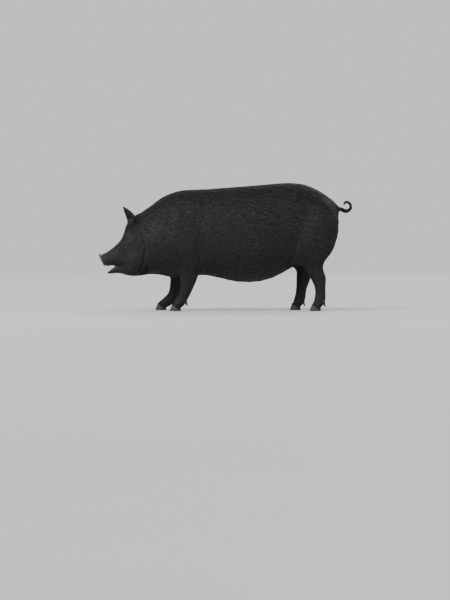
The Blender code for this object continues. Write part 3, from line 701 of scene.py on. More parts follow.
def shape_lids(points, rim):
    """Lays the lids over the eyeball and opens them, with a thick moist edge."""
    outline = lid_edge()
    for centre, axes in eye_frames().values():
        close = near(points, [centre], LID_REACH)
        local = (points[close] - centre) @ axes.T
        flat = local[:, :2]
        facing = local[:, 2] > 0.001
        # Distance from the opening, less than nothing inside it
        gap = np.linalg.norm(flat[:, None] - outline[None], axis=2)
        index, away = gap.argmin(axis=1), gap.min(axis=1)
        turns = np.arccos(np.clip(flat[:, 0] / LID_HALF_LENGTH, -1, 1))
        limit = np.sin(turns) ** (1 + LID_ARCH) * np.where(flat[:, 1] > 0, UPPER_LID, LOWER_LID)
        inside = (np.abs(flat[:, 1]) < limit) & (np.abs(flat[:, 0]) < LID_HALF_LENGTH)
        away = np.where(inside, -away, away)
        snap = facing & (np.abs(away) < LID_SNAP)
        flat = np.where(snap[:, None], outline[index], flat)
        away = np.where(snap, 0, away)
        # Heights of the lid over the ball, of the hide behind the opening and of the folds
        radius = np.linalg.norm(flat, axis=1)
        swell = np.sqrt(np.clip(1 - (1 - np.clip(away / LID_ROUND, 0, 1)) ** 2, 0, 1))
        ball = dome(BALL_RADIUS + LID_THICKNESS * swell, radius) - 0.0002
        behind = dome(BALL_RADIUS - BEHIND_LIDS, radius)
        above = step(flat[:, 1], -0.002, 0.006) * (1 - step(np.abs(flat[:, 0]), 0.013, 0.022))
        below = step(-flat[:, 1], 0.001, 0.006) * (1 - step(np.abs(flat[:, 0]), 0.009, 0.018))
        folds = np.zeros(len(flat))
        for place, width, deep, share in LID_FOLDS:
            folds += deep * hill(away - place, width) * (above if share > 0 else below)
        # The lid runs over into the hide that was there, and further out nothing changes
        base = local[:, 2] - 0.0004
        overlap = np.clip(0.5 + 0.5 * (base - ball) / LID_BLEND, 0, 1)
        merged = ball + (base - ball) * overlap + LID_BLEND * overlap * (1 - overlap)
        blend = step(away, 0.0012, 0.0045)
        far = step(away, 0.0110, 0.0180)
        height = ball * (1 - blend) + merged * blend
        height = height * (1 - far) + local[:, 2] * far - folds * (away > 0)
        height = np.where(away < 0, behind, height)
        height = np.where(facing, height, local[:, 2])
        flat = np.where(facing[:, None], flat, local[:, :2])
        points[close] = np.column_stack((flat, height)) @ axes + centre
        rim[close] = np.maximum(rim[close], hill(np.clip(away, 0, None), WET_EDGE) * facing)
    return points


def ear_place(points, side):
    """Places on an ear: how far along it, across it towards the back edge, and out of the
    cup, and how near the edge, from 0 in the middle to 1."""
    along = mirrored(EAR_TIP - EAR_ROOT, side).normalized()
    opening = mirrored(EAR_OPENING, side)
    opening = (opening - along * opening.dot(along)).normalized()
    backward = along.cross(opening)
    if backward.x < 0:
        backward.negate()
    local = (points - np.array(mirrored(EAR_ROOT, side))) @ np.array((along, backward, opening)).T
    far, across, out = local.T
    stations, front, back = np.array(EAR_REACH)
    reach = np.where(across > 0, np.interp(far, stations, back), np.interp(far, stations, front))
    return far, across, out, np.abs(across) / reach


def ear_forms(points, normals, ears, dark):
    """The deep conch at the root of each ear's cup, and the ridges that run up its inside."""
    shift = np.zeros(len(points))
    for side in SIDES.values():
        far, across, out, _ = ear_place(points, side)
        mine = 1 - step(np.abs(out), 0.026, 0.040)
        opening = mirrored(EAR_OPENING, side).normalized()
        inner = step(normals @ np.array(opening), 0.1, 0.5) * mine
        conch = np.exp(-(((far - 0.022) / 0.013) ** 2) - ((across - 0.002) / 0.015) ** 2)
        shift -= CONCH_DEPTH * conch * inner
        span = step(far, 0.025, 0.040) * (1 - step(far, 0.075, 0.100))
        for place in EAR_RIDGES:
            # The ridges part as they run towards the tip
            line = across - place * (0.4 + far / 0.06)
            shift += RIDGE_HEIGHT * hill(line, RIDGE_WIDTH) * span * inner * (ears > 0.5)
        # Painted shade: the deep part of the conch is marked for a near-black colour, where shade falls in
        # the cup
        dark[:] = np.maximum(dark, step(conch, 0.45, 0.95) * inner)
    return shift


def disc_frame():
    """The nose disc's directions: across, up and ahead."""
    return np.array(((0, 1, 0), (DISC_FACING.z, 0, -DISC_FACING.x), tuple(DISC_FACING)))


def nostrils(ahead):
    """Places in both nostrils, a distance ahead of the back of the disc."""
    axes = disc_frame()
    return [
        np.array(DISC_BACK) + np.array((side * NOSTRIL_PLACE[0], NOSTRIL_PLACE[1], ahead)) @ axes
        for side in SIDES.values()
    ]


def shape_nose(points, dark):
    """Gives the front of the nose disc its rim, hollow, middle groove and nostrils."""
    axes, back = disc_frame(), np.array(DISC_BACK)
    a, b, c = ((points - back) @ axes.T).T
    around = (np.abs(a) / DISC_HALF[0]) ** DISC_SQUARENESS + (np.abs(b) / DISC_HALF[1]) ** DISC_SQUARENESS
    ratio = around ** (1 / DISC_SQUARENESS)
    front = (1 - step(ratio, 0.88, 0.97)) * step(c, 0.0040, 0.0080) * (c < 0.03)
    level = np.interp(ratio, *DISC_PROFILE)
    # Fine notches round the rim, the grain of the skin and the groove down the middle
    notches = np.sin(RIM_NOTCHES * np.arctan2(b, a) + 3 * wander(points, 0.03, 31))
    level += 0.00007 * notches * hill(ratio - 0.88, 0.07)
    level += 0.00030 * wander(points, 0.012, 32)
    level -= DISC_GROOVE[1] * hill(a, DISC_GROOVE[0]) * (1 - step(np.abs(b), 0.024, 0.038))
    for side in SIDES.values():
        along, up = a - side * NOSTRIL_PLACE[0], b - NOSTRIL_PLACE[1]
        cos, sin = math.cos(NOSTRIL_TILT), math.sin(NOSTRIL_TILT) * side
        u, v = along * cos + up * sin, up * cos - along * sin
        main = np.hypot(u / NOSTRIL_HALF[0], v / NOSTRIL_HALF[1])
        notch = np.hypot((u - side * 0.0070) / 0.0072, (v - 0.0016) / 0.0046)
        # The round hole and its outer notch, run together
        edge = -np.logaddexp(-7 * main, -7 * notch) / 7
        level += 0.0011 * hill(main - 1.38, 0.24)
        well = 1 - step(edge, 0.66, 1.02)
        level -= NOSTRIL_DEPTH * well
        # Painted shade: the nostril wells are marked for a near-black colour, where shade falls inside them
        dark[:] = np.maximum(dark, front * well)
    c = c + front * (level - c)
    return np.column_stack((a, b, c)) @ axes + back


def crease(flat, normals, line, width, depth, sides):
    """Presses a fold along a line seen from the side, with soft swellings beside it."""
    ends, room = np.array(line), 5 * width
    close = np.all((flat > ends.min(axis=0) - room) & (flat < ends.max(axis=0) + room), axis=1)
    shift = np.zeros(len(flat))
    distance, along = to_line(flat[close], line)
    fade = np.clip(np.minimum(along, 1 - along) * 4, 0, 1) ** 0.7
    shoulder = 0.45 * hill(distance - 2.1 * width, 1.1 * width)
    facing = step(np.abs(normals[close, 1]), 0.15, 0.5) if sides else 1
    shift[close] = (shoulder - hill(distance, width)) * depth * fade * facing
    return shift


def swelling(points, normals, centre, size, height):
    """A soft rise or hollow on both sides, seen from the side."""
    spread = ((points[:, 0] - centre[0]) / size[0]) ** 2 + ((points[:, 2] - centre[1]) / size[1]) ** 2
    return height * np.exp(-spread) * step(np.abs(normals[:, 1]), 0.1, 0.5)


# Folds of the hide, seen from the side: points (x, z), half width, depth, sides only
FOLDS = (
    # across the bridge of the snout
    (((-0.751, 0.366), (-0.743, 0.330), (-0.740, 0.300)), 0.0020, 0.0012, False),
    (((-0.741, 0.378), (-0.730, 0.345), (-0.727, 0.312)), 0.0022, 0.0014, False),
    (((-0.728, 0.388), (-0.716, 0.355), (-0.712, 0.325)), 0.0022, 0.0013, False),
    (((-0.714, 0.396), (-0.701, 0.364), (-0.697, 0.338)), 0.0025, 0.0011, False),
    (((-0.698, 0.410), (-0.685, 0.378), (-0.682, 0.356)), 0.0026, 0.0009, False),
    (((-0.680, 0.424), (-0.668, 0.396)), 0.0028, 0.0007, False),
    (((-0.648, 0.470), (-0.636, 0.440)), 0.0032, 0.0008, False),
    # between the lips, and behind their corner
    (((-0.690, 0.2812), (-0.670, 0.2868), (-0.650, 0.2925), (-0.618, 0.3040)), 0.0016, 0.0036, True),
    (((-0.620, 0.3035), (-0.609, 0.3020), (-0.602, 0.2930), (-0.600, 0.2820)), 0.0024, 0.0013, True),
    (((-0.612, 0.3120), (-0.600, 0.3080), (-0.593, 0.2960)), 0.0026, 0.0009, True),
    (((-0.640, 0.2700), (-0.622, 0.2760), (-0.606, 0.2700)), 0.0026, 0.0009, True),
    # below the eye, down the cheek
    (((-0.655, 0.432), (-0.642, 0.414), (-0.622, 0.404), (-0.600, 0.408)), 0.0030, 0.0013, True),
    (((-0.648, 0.418), (-0.630, 0.400), (-0.606, 0.392)), 0.0032, 0.0009, True),
    # behind the jowl and down the neck
    (
        ((-0.536, 0.232), (-0.512, 0.290), (-0.500, 0.370), (-0.507, 0.440), (-0.524, 0.490)),
        0.0085, 0.0040, True,
    ),
    (((-0.486, 0.228), (-0.470, 0.285), (-0.466, 0.340)), 0.0075, 0.0022, True),
    (((-0.478, 0.385), (-0.472, 0.430), (-0.484, 0.480)), 0.0070, 0.0016, True),
    (((-0.440, 0.226), (-0.426, 0.285), (-0.424, 0.350)), 0.0085, 0.0020, True),
    (((-0.530, 0.570), (-0.506, 0.530), (-0.494, 0.490)), 0.0070, 0.0018, True),
    # behind the elbow
    (
        ((-0.190, 0.225), (-0.166, 0.275), (-0.160, 0.330), (-0.172, 0.390), (-0.196, 0.440)),
        0.0080, 0.0052, True,
    ),
    (((-0.165, 0.215), (-0.142, 0.262), (-0.136, 0.310)), 0.0065, 0.0032, True),
    (((-0.140, 0.212), (-0.118, 0.250), (-0.112, 0.285)), 0.0060, 0.0018, True),
    # the flank, before the thigh
    (
        ((0.345, 0.225), (0.385, 0.275), (0.418, 0.335), (0.436, 0.400), (0.440, 0.455)),
        0.0090, 0.0058, True,
    ),
    (((0.330, 0.250), (0.360, 0.295), (0.388, 0.345), (0.400, 0.400)), 0.0065, 0.0030, True),
    # round the knees, the hocks and the pasterns
    (((-0.262, 0.192), (-0.200, 0.200)), 0.0042, 0.0015, False),
    (((-0.266, 0.178), (-0.206, 0.184)), 0.0042, 0.0013, False),
    (((-0.338, 0.196), (-0.270, 0.206)), 0.0042, 0.0015, False),
    (((-0.342, 0.182), (-0.276, 0.190)), 0.0042, 0.0013, False),
    (((-0.318, 0.066), (-0.262, 0.090)), 0.0042, 0.0012, False),
    (((-0.312, 0.056), (-0.262, 0.076)), 0.0042, 0.0011, False),
    (((-0.395, 0.070), (-0.340, 0.100)), 0.0042, 0.0012, False),
    (((-0.392, 0.060), (-0.338, 0.084)), 0.0042, 0.0011, False),
    (((0.548, 0.232), (0.585, 0.222)), 0.0042, 0.0015, False),
    (((0.552, 0.216), (0.590, 0.208)), 0.0042, 0.0012, False),
    (((0.462, 0.222), (0.500, 0.214)), 0.0042, 0.0015, False),
    (((0.555, 0.060), (0.620, 0.078)), 0.0042, 0.0012, False),
    (((0.556, 0.048), (0.618, 0.064)), 0.0042, 0.0011, False),
    (((0.440, 0.060), (0.505, 0.078)), 0.0042, 0.0012, False),
    (((0.440, 0.048), (0.502, 0.064)), 0.0042, 0.0011, False),
)

# Muscles and hollows under the hide: centre (x, z), size, height
FORMS = (
    # cheek bone, temple, the hollow before the eye, and the cheek
    ((-0.585, 0.425), (0.030, 0.014), 0.0022),
    ((-0.575, 0.470), (0.022, 0.018), -0.0022),
    ((-0.668, 0.400), (0.026, 0.016), -0.0024),
    ((-0.700, 0.350), (0.030, 0.012), 0.0012),
    ((-0.560, 0.330), (0.034, 0.040), 0.0022),
    # neck, shoulder blade, point of the shoulder, elbow
    ((-0.440, 0.560), (0.040, 0.050), -0.0040),
    ((-0.375, 0.500), (0.020, 0.100), -0.0060),
    ((-0.305, 0.610), (0.020, 0.090), 0.0026),
    ((-0.255, 0.610), (0.018, 0.080), -0.0036),
    ((-0.340, 0.400), (0.040, 0.050), 0.0028),
    ((-0.225, 0.420), (0.034, 0.070), 0.0026),
    ((-0.150, 0.520), (0.030, 0.130), -0.0055),
    ((-0.225, 0.300), (0.020, 0.026), 0.0020),
    # ribs and loin
    ((0.020, 0.560), (0.090, 0.100), 0.0016),
    ((0.315, 0.600), (0.048, 0.060), -0.0070),
    ((0.250, 0.690), (0.120, 0.020), 0.0018),
    # hip, thigh and ham
    ((0.415, 0.690), (0.032, 0.028), 0.0028),
    ((0.455, 0.400), (0.032, 0.050), 0.0026),
    ((0.500, 0.560), (0.016, 0.110), -0.0034),
    ((0.585, 0.560), (0.040, 0.080), 0.0024),
    ((0.560, 0.440), (0.016, 0.060), -0.0030),
    ((0.640, 0.420), (0.026, 0.050), 0.0020),
    ((0.555, 0.285), (0.010, 0.045), -0.0022),
    ((0.500, 0.285), (0.010, 0.045), -0.0022),
)


def cuffs():
    """The upper ends of the claws and dewclaws, which the skin grows over."""
    made = []
    for name in (*CLAWS, *DEWCLAWS):
        cuff = take_copy("cuff_" + name, (name,))
        top = max(v.co.dot(BAND_UP) for v in cuff.data.vertices)
        drop = CUFF_REACH["claw" if name in CLAWS else "dewclaw"]
        cut = BAND_UP.normalized() * (top / BAND_UP.length - drop)
        with editing(cuff):
            bpy.ops.mesh.bisect(plane_co=cut, plane_no=BAND_UP, clear_inner=True, use_fill=True)
        made.append(cuff)
    return made


def on_torso(start, way):
    """Where a straight line first meets the torso's solid."""
    mesh = frame["nodes"]["torso"].data
    corners = [v.co for v in mesh.vertices]
    tree = BVHTree.FromPolygons(corners, [tuple(face.vertices) for face in mesh.polygons])
    place = tree.ray_cast(Vector(start), Vector(way))[0]
    if place is None:
        raise RuntimeError(f"no part of the torso lies ahead of {start}")
    return np.array(place)


def teat_places():
    """Where the teats stand on the belly, in two rows."""
    return [on_torso((x, TEAT_ROW * side, 0), (0, 0, 1)) for x in TEAT_PLACES for side in SIDES.values()]


def rear_places():
    """Where the vent and, below it, the vulva of the sow lie, behind the root of the tail."""
    return [on_torso((1, 0, height), (-1, 0, 0)) for height in REAR_HEIGHTS]


def lump(place, size):
    """A small rounded body that will be one with the hide."""
    bpy.ops.object.select_all(action="DESELECT")
    bpy.ops.mesh.primitive_uv_sphere_add(segments=16, ring_count=10, radius=1.0, location=place, scale=size)
    made = added("lump")
    bpy.ops.object.transform_apply(location=True, rotation=True, scale=True)
    return made


def lumps():
    """Teats in two rows, the vulva, and what fills the solids' nostrils until they are shaped."""
    _, cleft = rear_places()
    return [
        *(lump(place - (0, 0, 0.001), TEAT_SIZE) for place in teat_places()),
        *(lump(place, NOSTRIL_FILL) for place in nostrils(0.0085)),
        *(lump(cleft + place, size) for place, size in VULVA),
    ]


def rear_forms(points, vent, cleft):
    """The puckered ring of the vent, and the cleft of the vulva."""
    across, up = points[:, 1] - vent[1], points[:, 2] - vent[2]
    behind = points[:, 0] > vent[0] - 0.05
    away, turn = np.hypot(across, up), np.arctan2(up, across)
    ring = hill(away - 0.0125, 0.0060)
    shift = 0.0030 * ring - 0.0075 * hill(away, 0.0060) + 0.0006 * np.cos(13 * turn) * ring
    span = 1 - step(np.abs(points[:, 2] - cleft[2]), 0.010, 0.018)
    shift -= 0.0036 * hill(points[:, 1] - cleft[1], 0.0016) * span
    return shift * behind


def keep_whole_skin(hide):
    """Drops the closed bubbles that joining the parts leaves inside the hide."""
    foremost = np.zeros(len(hide.data.vertices), bool)
    foremost[places(hide)[:, 0].argmin()] = True
    with editing(hide, "VERT", foremost):
        bpy.ops.mesh.select_linked()
        bpy.ops.mesh.select_all(action="INVERT")
        bpy.ops.mesh.delete(type="VERT")


def even_hide(hide):
    """Keeps which part each vertex belongs to, and evens the joins and the solids' facets."""
    points = places(hide)
    edges = read(hide.data.edges, "vertices", 2, np.int32)
    region = region_of(points)
    masks = {
        name: soften((region == index).astype(float), edges, SPREAD.get(name, USUAL_SPREAD))
        for index, name in enumerate(PARTS)
    }
    total = sum(masks.values())
    masks = {name: mask / total for name, mask in masks.items()}
    smoothness = sum(masks[name] * amount for name, amount in SMOOTHNESS.items())
    # Teats and vulva are too small to be evened as much as the belly round them
    away = distance_to(points, [*teat_places(), rear_places()[1]])
    smoothness = np.minimum(smoothness, 0.10 + step(away, 0.014, 0.030))
    for repeats, low in SMOOTHING:
        smooth(hide, step(smoothness, low, low + 0.15) if low else np.ones(len(points)), repeats)
    for name, mask in masks.items():
        attribute(hide, "part_" + name, mask)


def refine_hide(hide):
    """Splits the faces of snout, eyes, ears, nostrils and rear, which take the finest shapes."""
    eyes = eye_middles()
    refine(hide, lambda spots: (
        (spots[:, 0] < -0.675) | near(spots, eyes, 0.045) | (spots[:, 2] > 0.535) & (spots[:, 0] < -0.555)
    ))
    refine(hide, lambda spots: near(spots, eyes, 0.026) | near(spots, nostrils(0.014), 0.017))
    refine(hide, lambda spots: near(spots, rear_places(), 0.034))


def carve_hide(hide, masks, strength):
    """Shapes the folds, the muscles and all small forms of the skin. Gives how far each vertex
    is on a wet rim and in a deep hollow that takes painted shade."""
    points, normals = places(hide), outward(hide)
    wobble = np.column_stack((wander(points, 0.05, 3), wander(points, 0.05, 4)))
    shift = np.zeros(len(points))
    for line, width, deep, sides in FOLDS:
        bent = points[:, [0, 2]] + wobble * width * 0.35
        shift += crease(bent, normals, line, width, deep * strength, sides)
    for centre, size, height in FORMS:
        shift += swelling(points, normals, centre, size, height)
    soft = np.clip(masks["trunk"] + masks["upper"], 0, 1)
    ribs = np.cos((points[:, 0] - RIB_LEAN * (points[:, 2] - 0.5)) * 2 * math.pi / RIB_SPACING)
    chest = step(points[:, 0], -0.16, -0.06) * (1 - step(points[:, 0], 0.14, 0.26))
    chest *= step(points[:, 2], 0.34, 0.46)
    shift += ribs * chest * RIB_HEIGHT * step(np.abs(normals[:, 1]), 0.3, 0.8)
    # Unevenness of the flesh, and fine upright wrinkles where the skin is loose
    shift += soft * (wander(points, 0.09, 11) * 0.0007 + wander(points, 0.035, 12) * 0.0004)
    loose = soft * (1 - step(points[:, 0], -0.46, -0.30)) + masks["lower"] * 0.5
    shift += loose * wander(points * (5, 1, 1), 0.075, 13) * 0.0006
    rim, dark = np.zeros(len(points)), np.zeros(len(points))
    shift += rear_forms(points, *rear_places())
    shift += ear_forms(points, normals, masks["ears"], dark)
    points += normals * shift[:, None]
    points = shape_lids(points, rim)
    points = shape_nose(points, dark)
    set_places(hide, points)
    smooth(hide, near(points, nostrils(0.014), 0.018).astype(float), 3)
    return rim, dark


def colour_hide(hide, masks, rim, dark):
    """Keeps for the material where the hide is wet, bare, in the mouth or marked for painted
    shade in its nostrils and ear conchs, and how its fine hair lies."""
    head = np.clip(masks["face"] + masks["nose"] + masks["ears"], 0, 1)
    attribute(hide, "rim", rim)
    attribute(hide, "bare", masks["nose"])
    # Painted shade: a near-black colour in the nostrils and the deep conch of the ears
    attribute(hide, "dark", dark)
    attribute(hide, "down", np.clip(masks["upper"] + masks["lower"] + masks["cuff"], 0, 1))
    attribute(hide, "face", step(head, 0.1, 0.9))
    reach = np.linalg.norm((places(hide) - np.array(MOUTH_MIDDLE)) / MOUTH_LINING, axis=1)
    attribute(hide, "mouth", (1 - step(reach, 0.75, 1.0)) * (masks["face"] > 0.5))


def thin_hide(hide, masks, triangles):
    """Leaves fewer triangles, mostly taken where the hide is plain."""
    points = places(hide)
    head = np.clip(masks["face"] + masks["nose"] + masks["ears"], 0, 1)
    fine = near(points, eye_middles(), 0.030) | near(points, nostrils(0.014), 0.020)
    feet = np.clip(masks["lower"] + masks["tail"] + masks["cuff"], 0, 1)
    vertex_group(hide, "thin", np.clip(1 - 0.70 * feet - 0.90 * head - 0.98 * fine, 0.02, 1))
    with editing(hide):
        bpy.ops.mesh.quads_convert_to_tris()
    share = triangles / len(hide.data.polygons)
    modify(hide, "DECIMATE", ratio=share, vertex_group="thin", vertex_group_factor=0.05)
    hide.vertex_groups.clear()
    smooth(hide, attribute_values(hide, "part_trunk"), 3)


def build_hide():
    """Makes the hide in place of the solids of flesh."""
    looks = bpy.context.scene.pig_hide
    flesh = take_copy("hide", (*FLESH, "left_eye", "right_eye"))
    hide = join([flesh, *cuffs(), *lumps()], "hide")
    modify(hide, "DISPLACE", strength=looks.closing, mid_level=0)
    modify(hide, "REMESH", mode="VOXEL", voxel_size=looks.fineness)
    keep_whole_skin(hide)
    even_hide(hide)
    refine_hide(hide)
    masks = kept_masks(hide)
    depth = looks.closing + sum(masks[name] * amount for name, amount in COAT_DEPTH.items())
    set_places(hide, places(hide) - outward(hide) * depth[:, None])
    for parts, repeats in ((("face", "nose", "ears"), 6), (("ears",), 8)):
        smooth(hide, np.clip(sum(masks[name] for name in parts), 0, 1), repeats)
    rim, dark = carve_hide(hide, masks, looks.fold_strength)
    colour_hide(hide, masks, rim, dark)
    thin_hide(hide, masks, looks.triangles)
    only(hide)
    bpy.ops.object.shade_smooth()
    dress(hide, hide_material(looks))
    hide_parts(*FLESH)


# Coat

# Bristles on each part: tufts to the square centimetre, length, half width
BRISTLES = {
    "face": (11.5, 0.011, 0.00032),
    "nose": (0.0, 0.004, 0.00025),
    "trunk": (5.1, 0.025, 0.00047),
    "ears": (15.0, 0.008, 0.00026),
    "tail": (14.0, 0.016, 0.00036),
    "upper": (6.4, 0.019, 0.00042),
    "lower": (11.5, 0.011, 0.00034),
    "cuff": (15.0, 0.009, 0.00034),
}
# Length of the face's hair by distance from the tip of the snout, and shares of the trunk's
# length and density by height over the floor
FACE_HAIR = ((0.04, 0.10, 0.18, 0.27, 0.36), (0.004, 0.006, 0.009, 0.013, 0.020))
TRUNK_LENGTH = ((0.20, 0.32, 0.60, 0.74), (0.60, 0.85, 1.0, 1.25))
BELLY_DENSITY = ((0.20, 0.34), (0.6, 1.0))
# Whiskers: share of the hairs round the mouth, length, half width, how far the tips stand out,
# and how near and far from the tip of the snout they grow
WHISKERS = (0.035, 0.030, 0.00018, 0.011)
WHISKER_REACH = (0.055, 0.20)
# How far round the middle of each eye and of the vent and vulva the skin is bare
BARE_EYE, BARE_REAR = 0.0115, 0.021
# Lashes of each upper lid: number, shortest and longest half, half width, and how far along
# the lid they grow
LASHES = 20
LASH_HALF = (0.003, 0.006)
LASH_WIDTH = 0.00016
LASH_SPREAD = (-0.90, 0.75)
# The ways the hair lies, and the middle line of the tail's curl
LEG_LIE = np.array((0.22, 0, -1.0))
RUMP_LIE = np.array((0.30, 0, -1.0))
EAR_LIE = np.array((-0.40, 0.34, 0.85))
TAIL_ROUTE = (
    (0.703, 0.000, 0.645), (0.728, 0.003, 0.630), (0.756, 0.009, 0.622), (0.779, 0.016, 0.633),
    (0.784, 0.023, 0.655), (0.773, 0.028, 0.674), (0.755, 0.030, 0.680), (0.744, 0.029, 0.671),
    (0.744, 0.027, 0.661),
)
# A tuft: where its middle is along it, how high its root, middle and tip lie as shares of its
# rise, its thickness as a share of its width, and the side of its patch on the map
TUFT_MIDDLE = 0.5
TUFT_LIFT = np.array((-0.30, 0.70, 1.0))
TUFT_THICKNESS = 0.6
PATCH = 0.003
MOST_TUFTS = 18500
COAT_SEED = 7
COAT_PIECES = {
    "face": ("face", "nose"), "ears": ("ears",), "tail": ("tail",), "trunk": ("trunk",),
    "upper_legs": ("upper",), "lower_legs": ("lower", "cuff"),
}


def tuft_profile():
    """One bristle tuft, modelled along +X from its root to its tip: a flat closed
    three-sided lock. Gives its corners as (along, across, up) and its triangles."""
    bpy.ops.object.select_all(action="DESELECT")
    bpy.ops.mesh.primitive_circle_add(vertices=3, radius=1.0, fill_type="NGON", rotation=(0, math.pi / 2, 0))
    tuft = added("tuft")
    bpy.ops.object.transform_apply(location=False, rotation=True, scale=False)
    with editing(tuft):
        bpy.ops.mesh.extrude_region_move(TRANSFORM_OT_translate={"value": (TUFT_MIDDLE, 0, 0)})
        bpy.ops.transform.resize(value=(1, 0.80, 0.80), center_override=(TUFT_MIDDLE, 0, 0))
        bpy.ops.mesh.extrude_region_move(TRANSFORM_OT_translate={"value": (1 - TUFT_MIDDLE, 0, 0)})
        bpy.ops.mesh.merge(type="CENTER")
        bpy.ops.mesh.select_all(action="SELECT")
        bpy.ops.mesh.quads_convert_to_tris()
        bpy.ops.mesh.normals_make_consistent(inside=False)
    points = places(tuft)
    faces = read(tuft.data.polygons, "vertices", 3, np.int32)
    bpy.data.objects.remove(tuft)
    return points, faces


def lie_of(points, shares):
    """The way the hair points at each place: back from the snout, down the legs and rump,
    along the ears and the tail."""
    x, y, z = points.T
    low = 0.34 * (1 - step(z, 0.40, 0.72))
    trunk = np.stack((np.ones_like(x), np.zeros_like(x), -low), axis=1)
    rump = step(x, 0.54, 0.70)[:, None]
    trunk = trunk * (1 - rump) + RUMP_LIE * rump
    muzzle = unit(points - np.array(NOSE_TIP))
    head = (1 - step(x, -0.62, -0.44))[:, None]
    lie = muzzle * head + unit(trunk) * (1 - head)
    down = shares["upper"] * (1 - step(z, 0.30, 0.52)) + shares["lower"] + shares["cuff"]
    lie = lie * (1 - down[:, None]) + LEG_LIE * down[:, None]
    for side in SIDES.values():
        lie[(shares["ears"] > 0.5) & (y * side > 0)] = EAR_LIE * (1, side, 1)
    tail = shares["tail"] > 0.5
    route = np.array(TAIL_ROUTE)
    nearest = np.linalg.norm(points[tail][:, None] - route[None], axis=2).argmin(axis=1)
    lie[tail] = np.gradient(route, axis=0)[nearest]
    return unit(lie)


class Surface:
    """The hide's triangles, read once, for rooting hair on it and following it."""

    def __init__(self, thing):
        self.points = places(thing)
        self.normals = outward(thing)
        self.faces = read(thing.data.polygons, "vertices", 3, np.int32)
        self.tree = BVHTree.FromPolygons(self.points.tolist(), self.faces.tolist())
        a, b, c = (self.points[self.faces[:, i]] for i in range(3))
        self.areas = np.linalg.norm(np.cross(b - a, c - a), axis=1) / 2
        self.middles = (a + b + c) / 3

    def on_faces(self, values):
        """A value of each vertex, averaged on each face."""
        return values[self.faces].mean(axis=1)

    def roots(self, weights, rng):
        """Places spread over the surface, about as many to a face as its weight."""
        total = np.cumsum(weights)
        count = int(total[-1])
        picks = (np.arange(count) + rng.random(count)) / count * total[-1]
        chosen = np.minimum(np.searchsorted(total, picks), len(weights) - 1)
        u, v = rng.random(count), rng.random(count)
        over = u + v > 1
        u[over], v[over] = 1 - u[over], 1 - v[over]
        a, b, c = (self.points[self.faces[chosen, i]] for i in range(3))
        return chosen, a + u[:, None] * (b - a) + v[:, None] * (c - a)

    def settle(self, points):
        """The nearest places on the surface, with the way outwards there."""
        found = [self.tree.find_nearest(point)[:3] for point in points]
        spots = np.array([tuple(f[0]) for f in found])
        ways = self.normals[self.faces[[f[2] for f in found]]].mean(axis=1)
        return spots, unit(ways)


def comb(surface, roots, way, length):
    """Lays each tuft's middle line along the surface: three places and the way out there."""
    spots, outs = surface.settle(roots)
    line, normals = [spots], [outs]
    for share in (TUFT_MIDDLE, 1 - TUFT_MIDDLE):
        way = unit(way - outs * np.sum(way * outs, axis=1, keepdims=True))
        spots, outs = surface.settle(spots + way * (length * share)[:, None])
        line.append(spots)
        normals.append(outs)
    return np.stack(line, axis=1), np.stack(normals, axis=1)


def tufts(name, line, normals, width, rise, shade, profile, map_spots):
    """One joined mesh of tufts, each laid along its own line."""
    shape, faces = profile
    index = np.abs(shape[:, 0][:, None] - np.array((0.0, TUFT_MIDDLE, 1.0))[None]).argmin(axis=1)
    centre, out = line[:, index], normals[:, index]
    ahead = np.gradient(line, axis=1)[:, index]
    across = unit(np.cross(ahead, out))
    lift = rise[:, None] * TUFT_LIFT[index][None]
    points = centre + out * lift[..., None]
    points += across * (shape[:, 1][None, :, None] * width[:, None, None])
    points += out * (shape[:, 2][None, :, None] * width[:, None, None] * TUFT_THICKNESS)
    count, corners = points.shape[:2]
    every = (faces[None] + (np.arange(count) * corners)[:, None, None]).reshape(-1, 3)
    made = mesh_object(name, points.reshape(-1, 3), every)
    attribute(made, "along", np.tile(shape[:, 0], count))
    attribute(made, "shade", np.repeat(shade, corners))
    local = np.stack((shape[:, 0] - 0.5, shape[:, 1] * 0.5), axis=1) * PATCH
    spots = (map_spots[:, None] + local[None]).reshape(-1, 2)
    layer = made.data.uv_layers.new(name="OFBake")
    layer.data.foreach_set("uv", spots[every.ravel()].astype(np.float32).ravel())
    made.data.polygons.foreach_set("use_smooth", np.ones(len(every), bool))
    return made


def unwrap_spots(hide, roots):
    """Where each root falls on an unwrap of the hide's own shape."""
    only(hide)
    bpy.ops.object.duplicate()
    plain = bpy.context.view_layer.objects.active
    modify(plain, "DECIMATE", ratio=0.06)
    with editing(plain):
        bpy.ops.uv.smart_project(angle_limit=math.radians(66), island_margin=0.004)
    points = places(plain)
    faces = read(plain.data.polygons, "vertices", 3, np.int32)
    spots = read(plain.data.uv_layers.active.data, "uv", 2).reshape(-1, 3, 2)
    tree = BVHTree.FromPolygons(points.tolist(), faces.tolist())
    found = np.array([tree.find_nearest(root)[2] for root in roots])
    bpy.data.objects.remove(plain)
    # The root's shares of its triangle's second and third corner
    a, b, c = (points[faces[found][:, i]] for i in range(3))
    first, second, to_root = b - a, c - a, roots - a
    d00, d01, d11 = (first * first).sum(1), (first * second).sum(1), (second * second).sum(1)
    d20, d21 = (to_root * first).sum(1), (to_root * second).sum(1)
    scale = np.maximum(d00 * d11 - d01 * d01, 1e-18)
    v = np.clip((d11 * d20 - d01 * d21) / scale, 0, 1)
    w = np.clip((d00 * d21 - d01 * d20) / scale, 0, 1)
    uv = spots[found]
    return uv[:, 0] * (1 - v - w)[:, None] + uv[:, 1] * v[:, None] + uv[:, 2] * w[:, None]


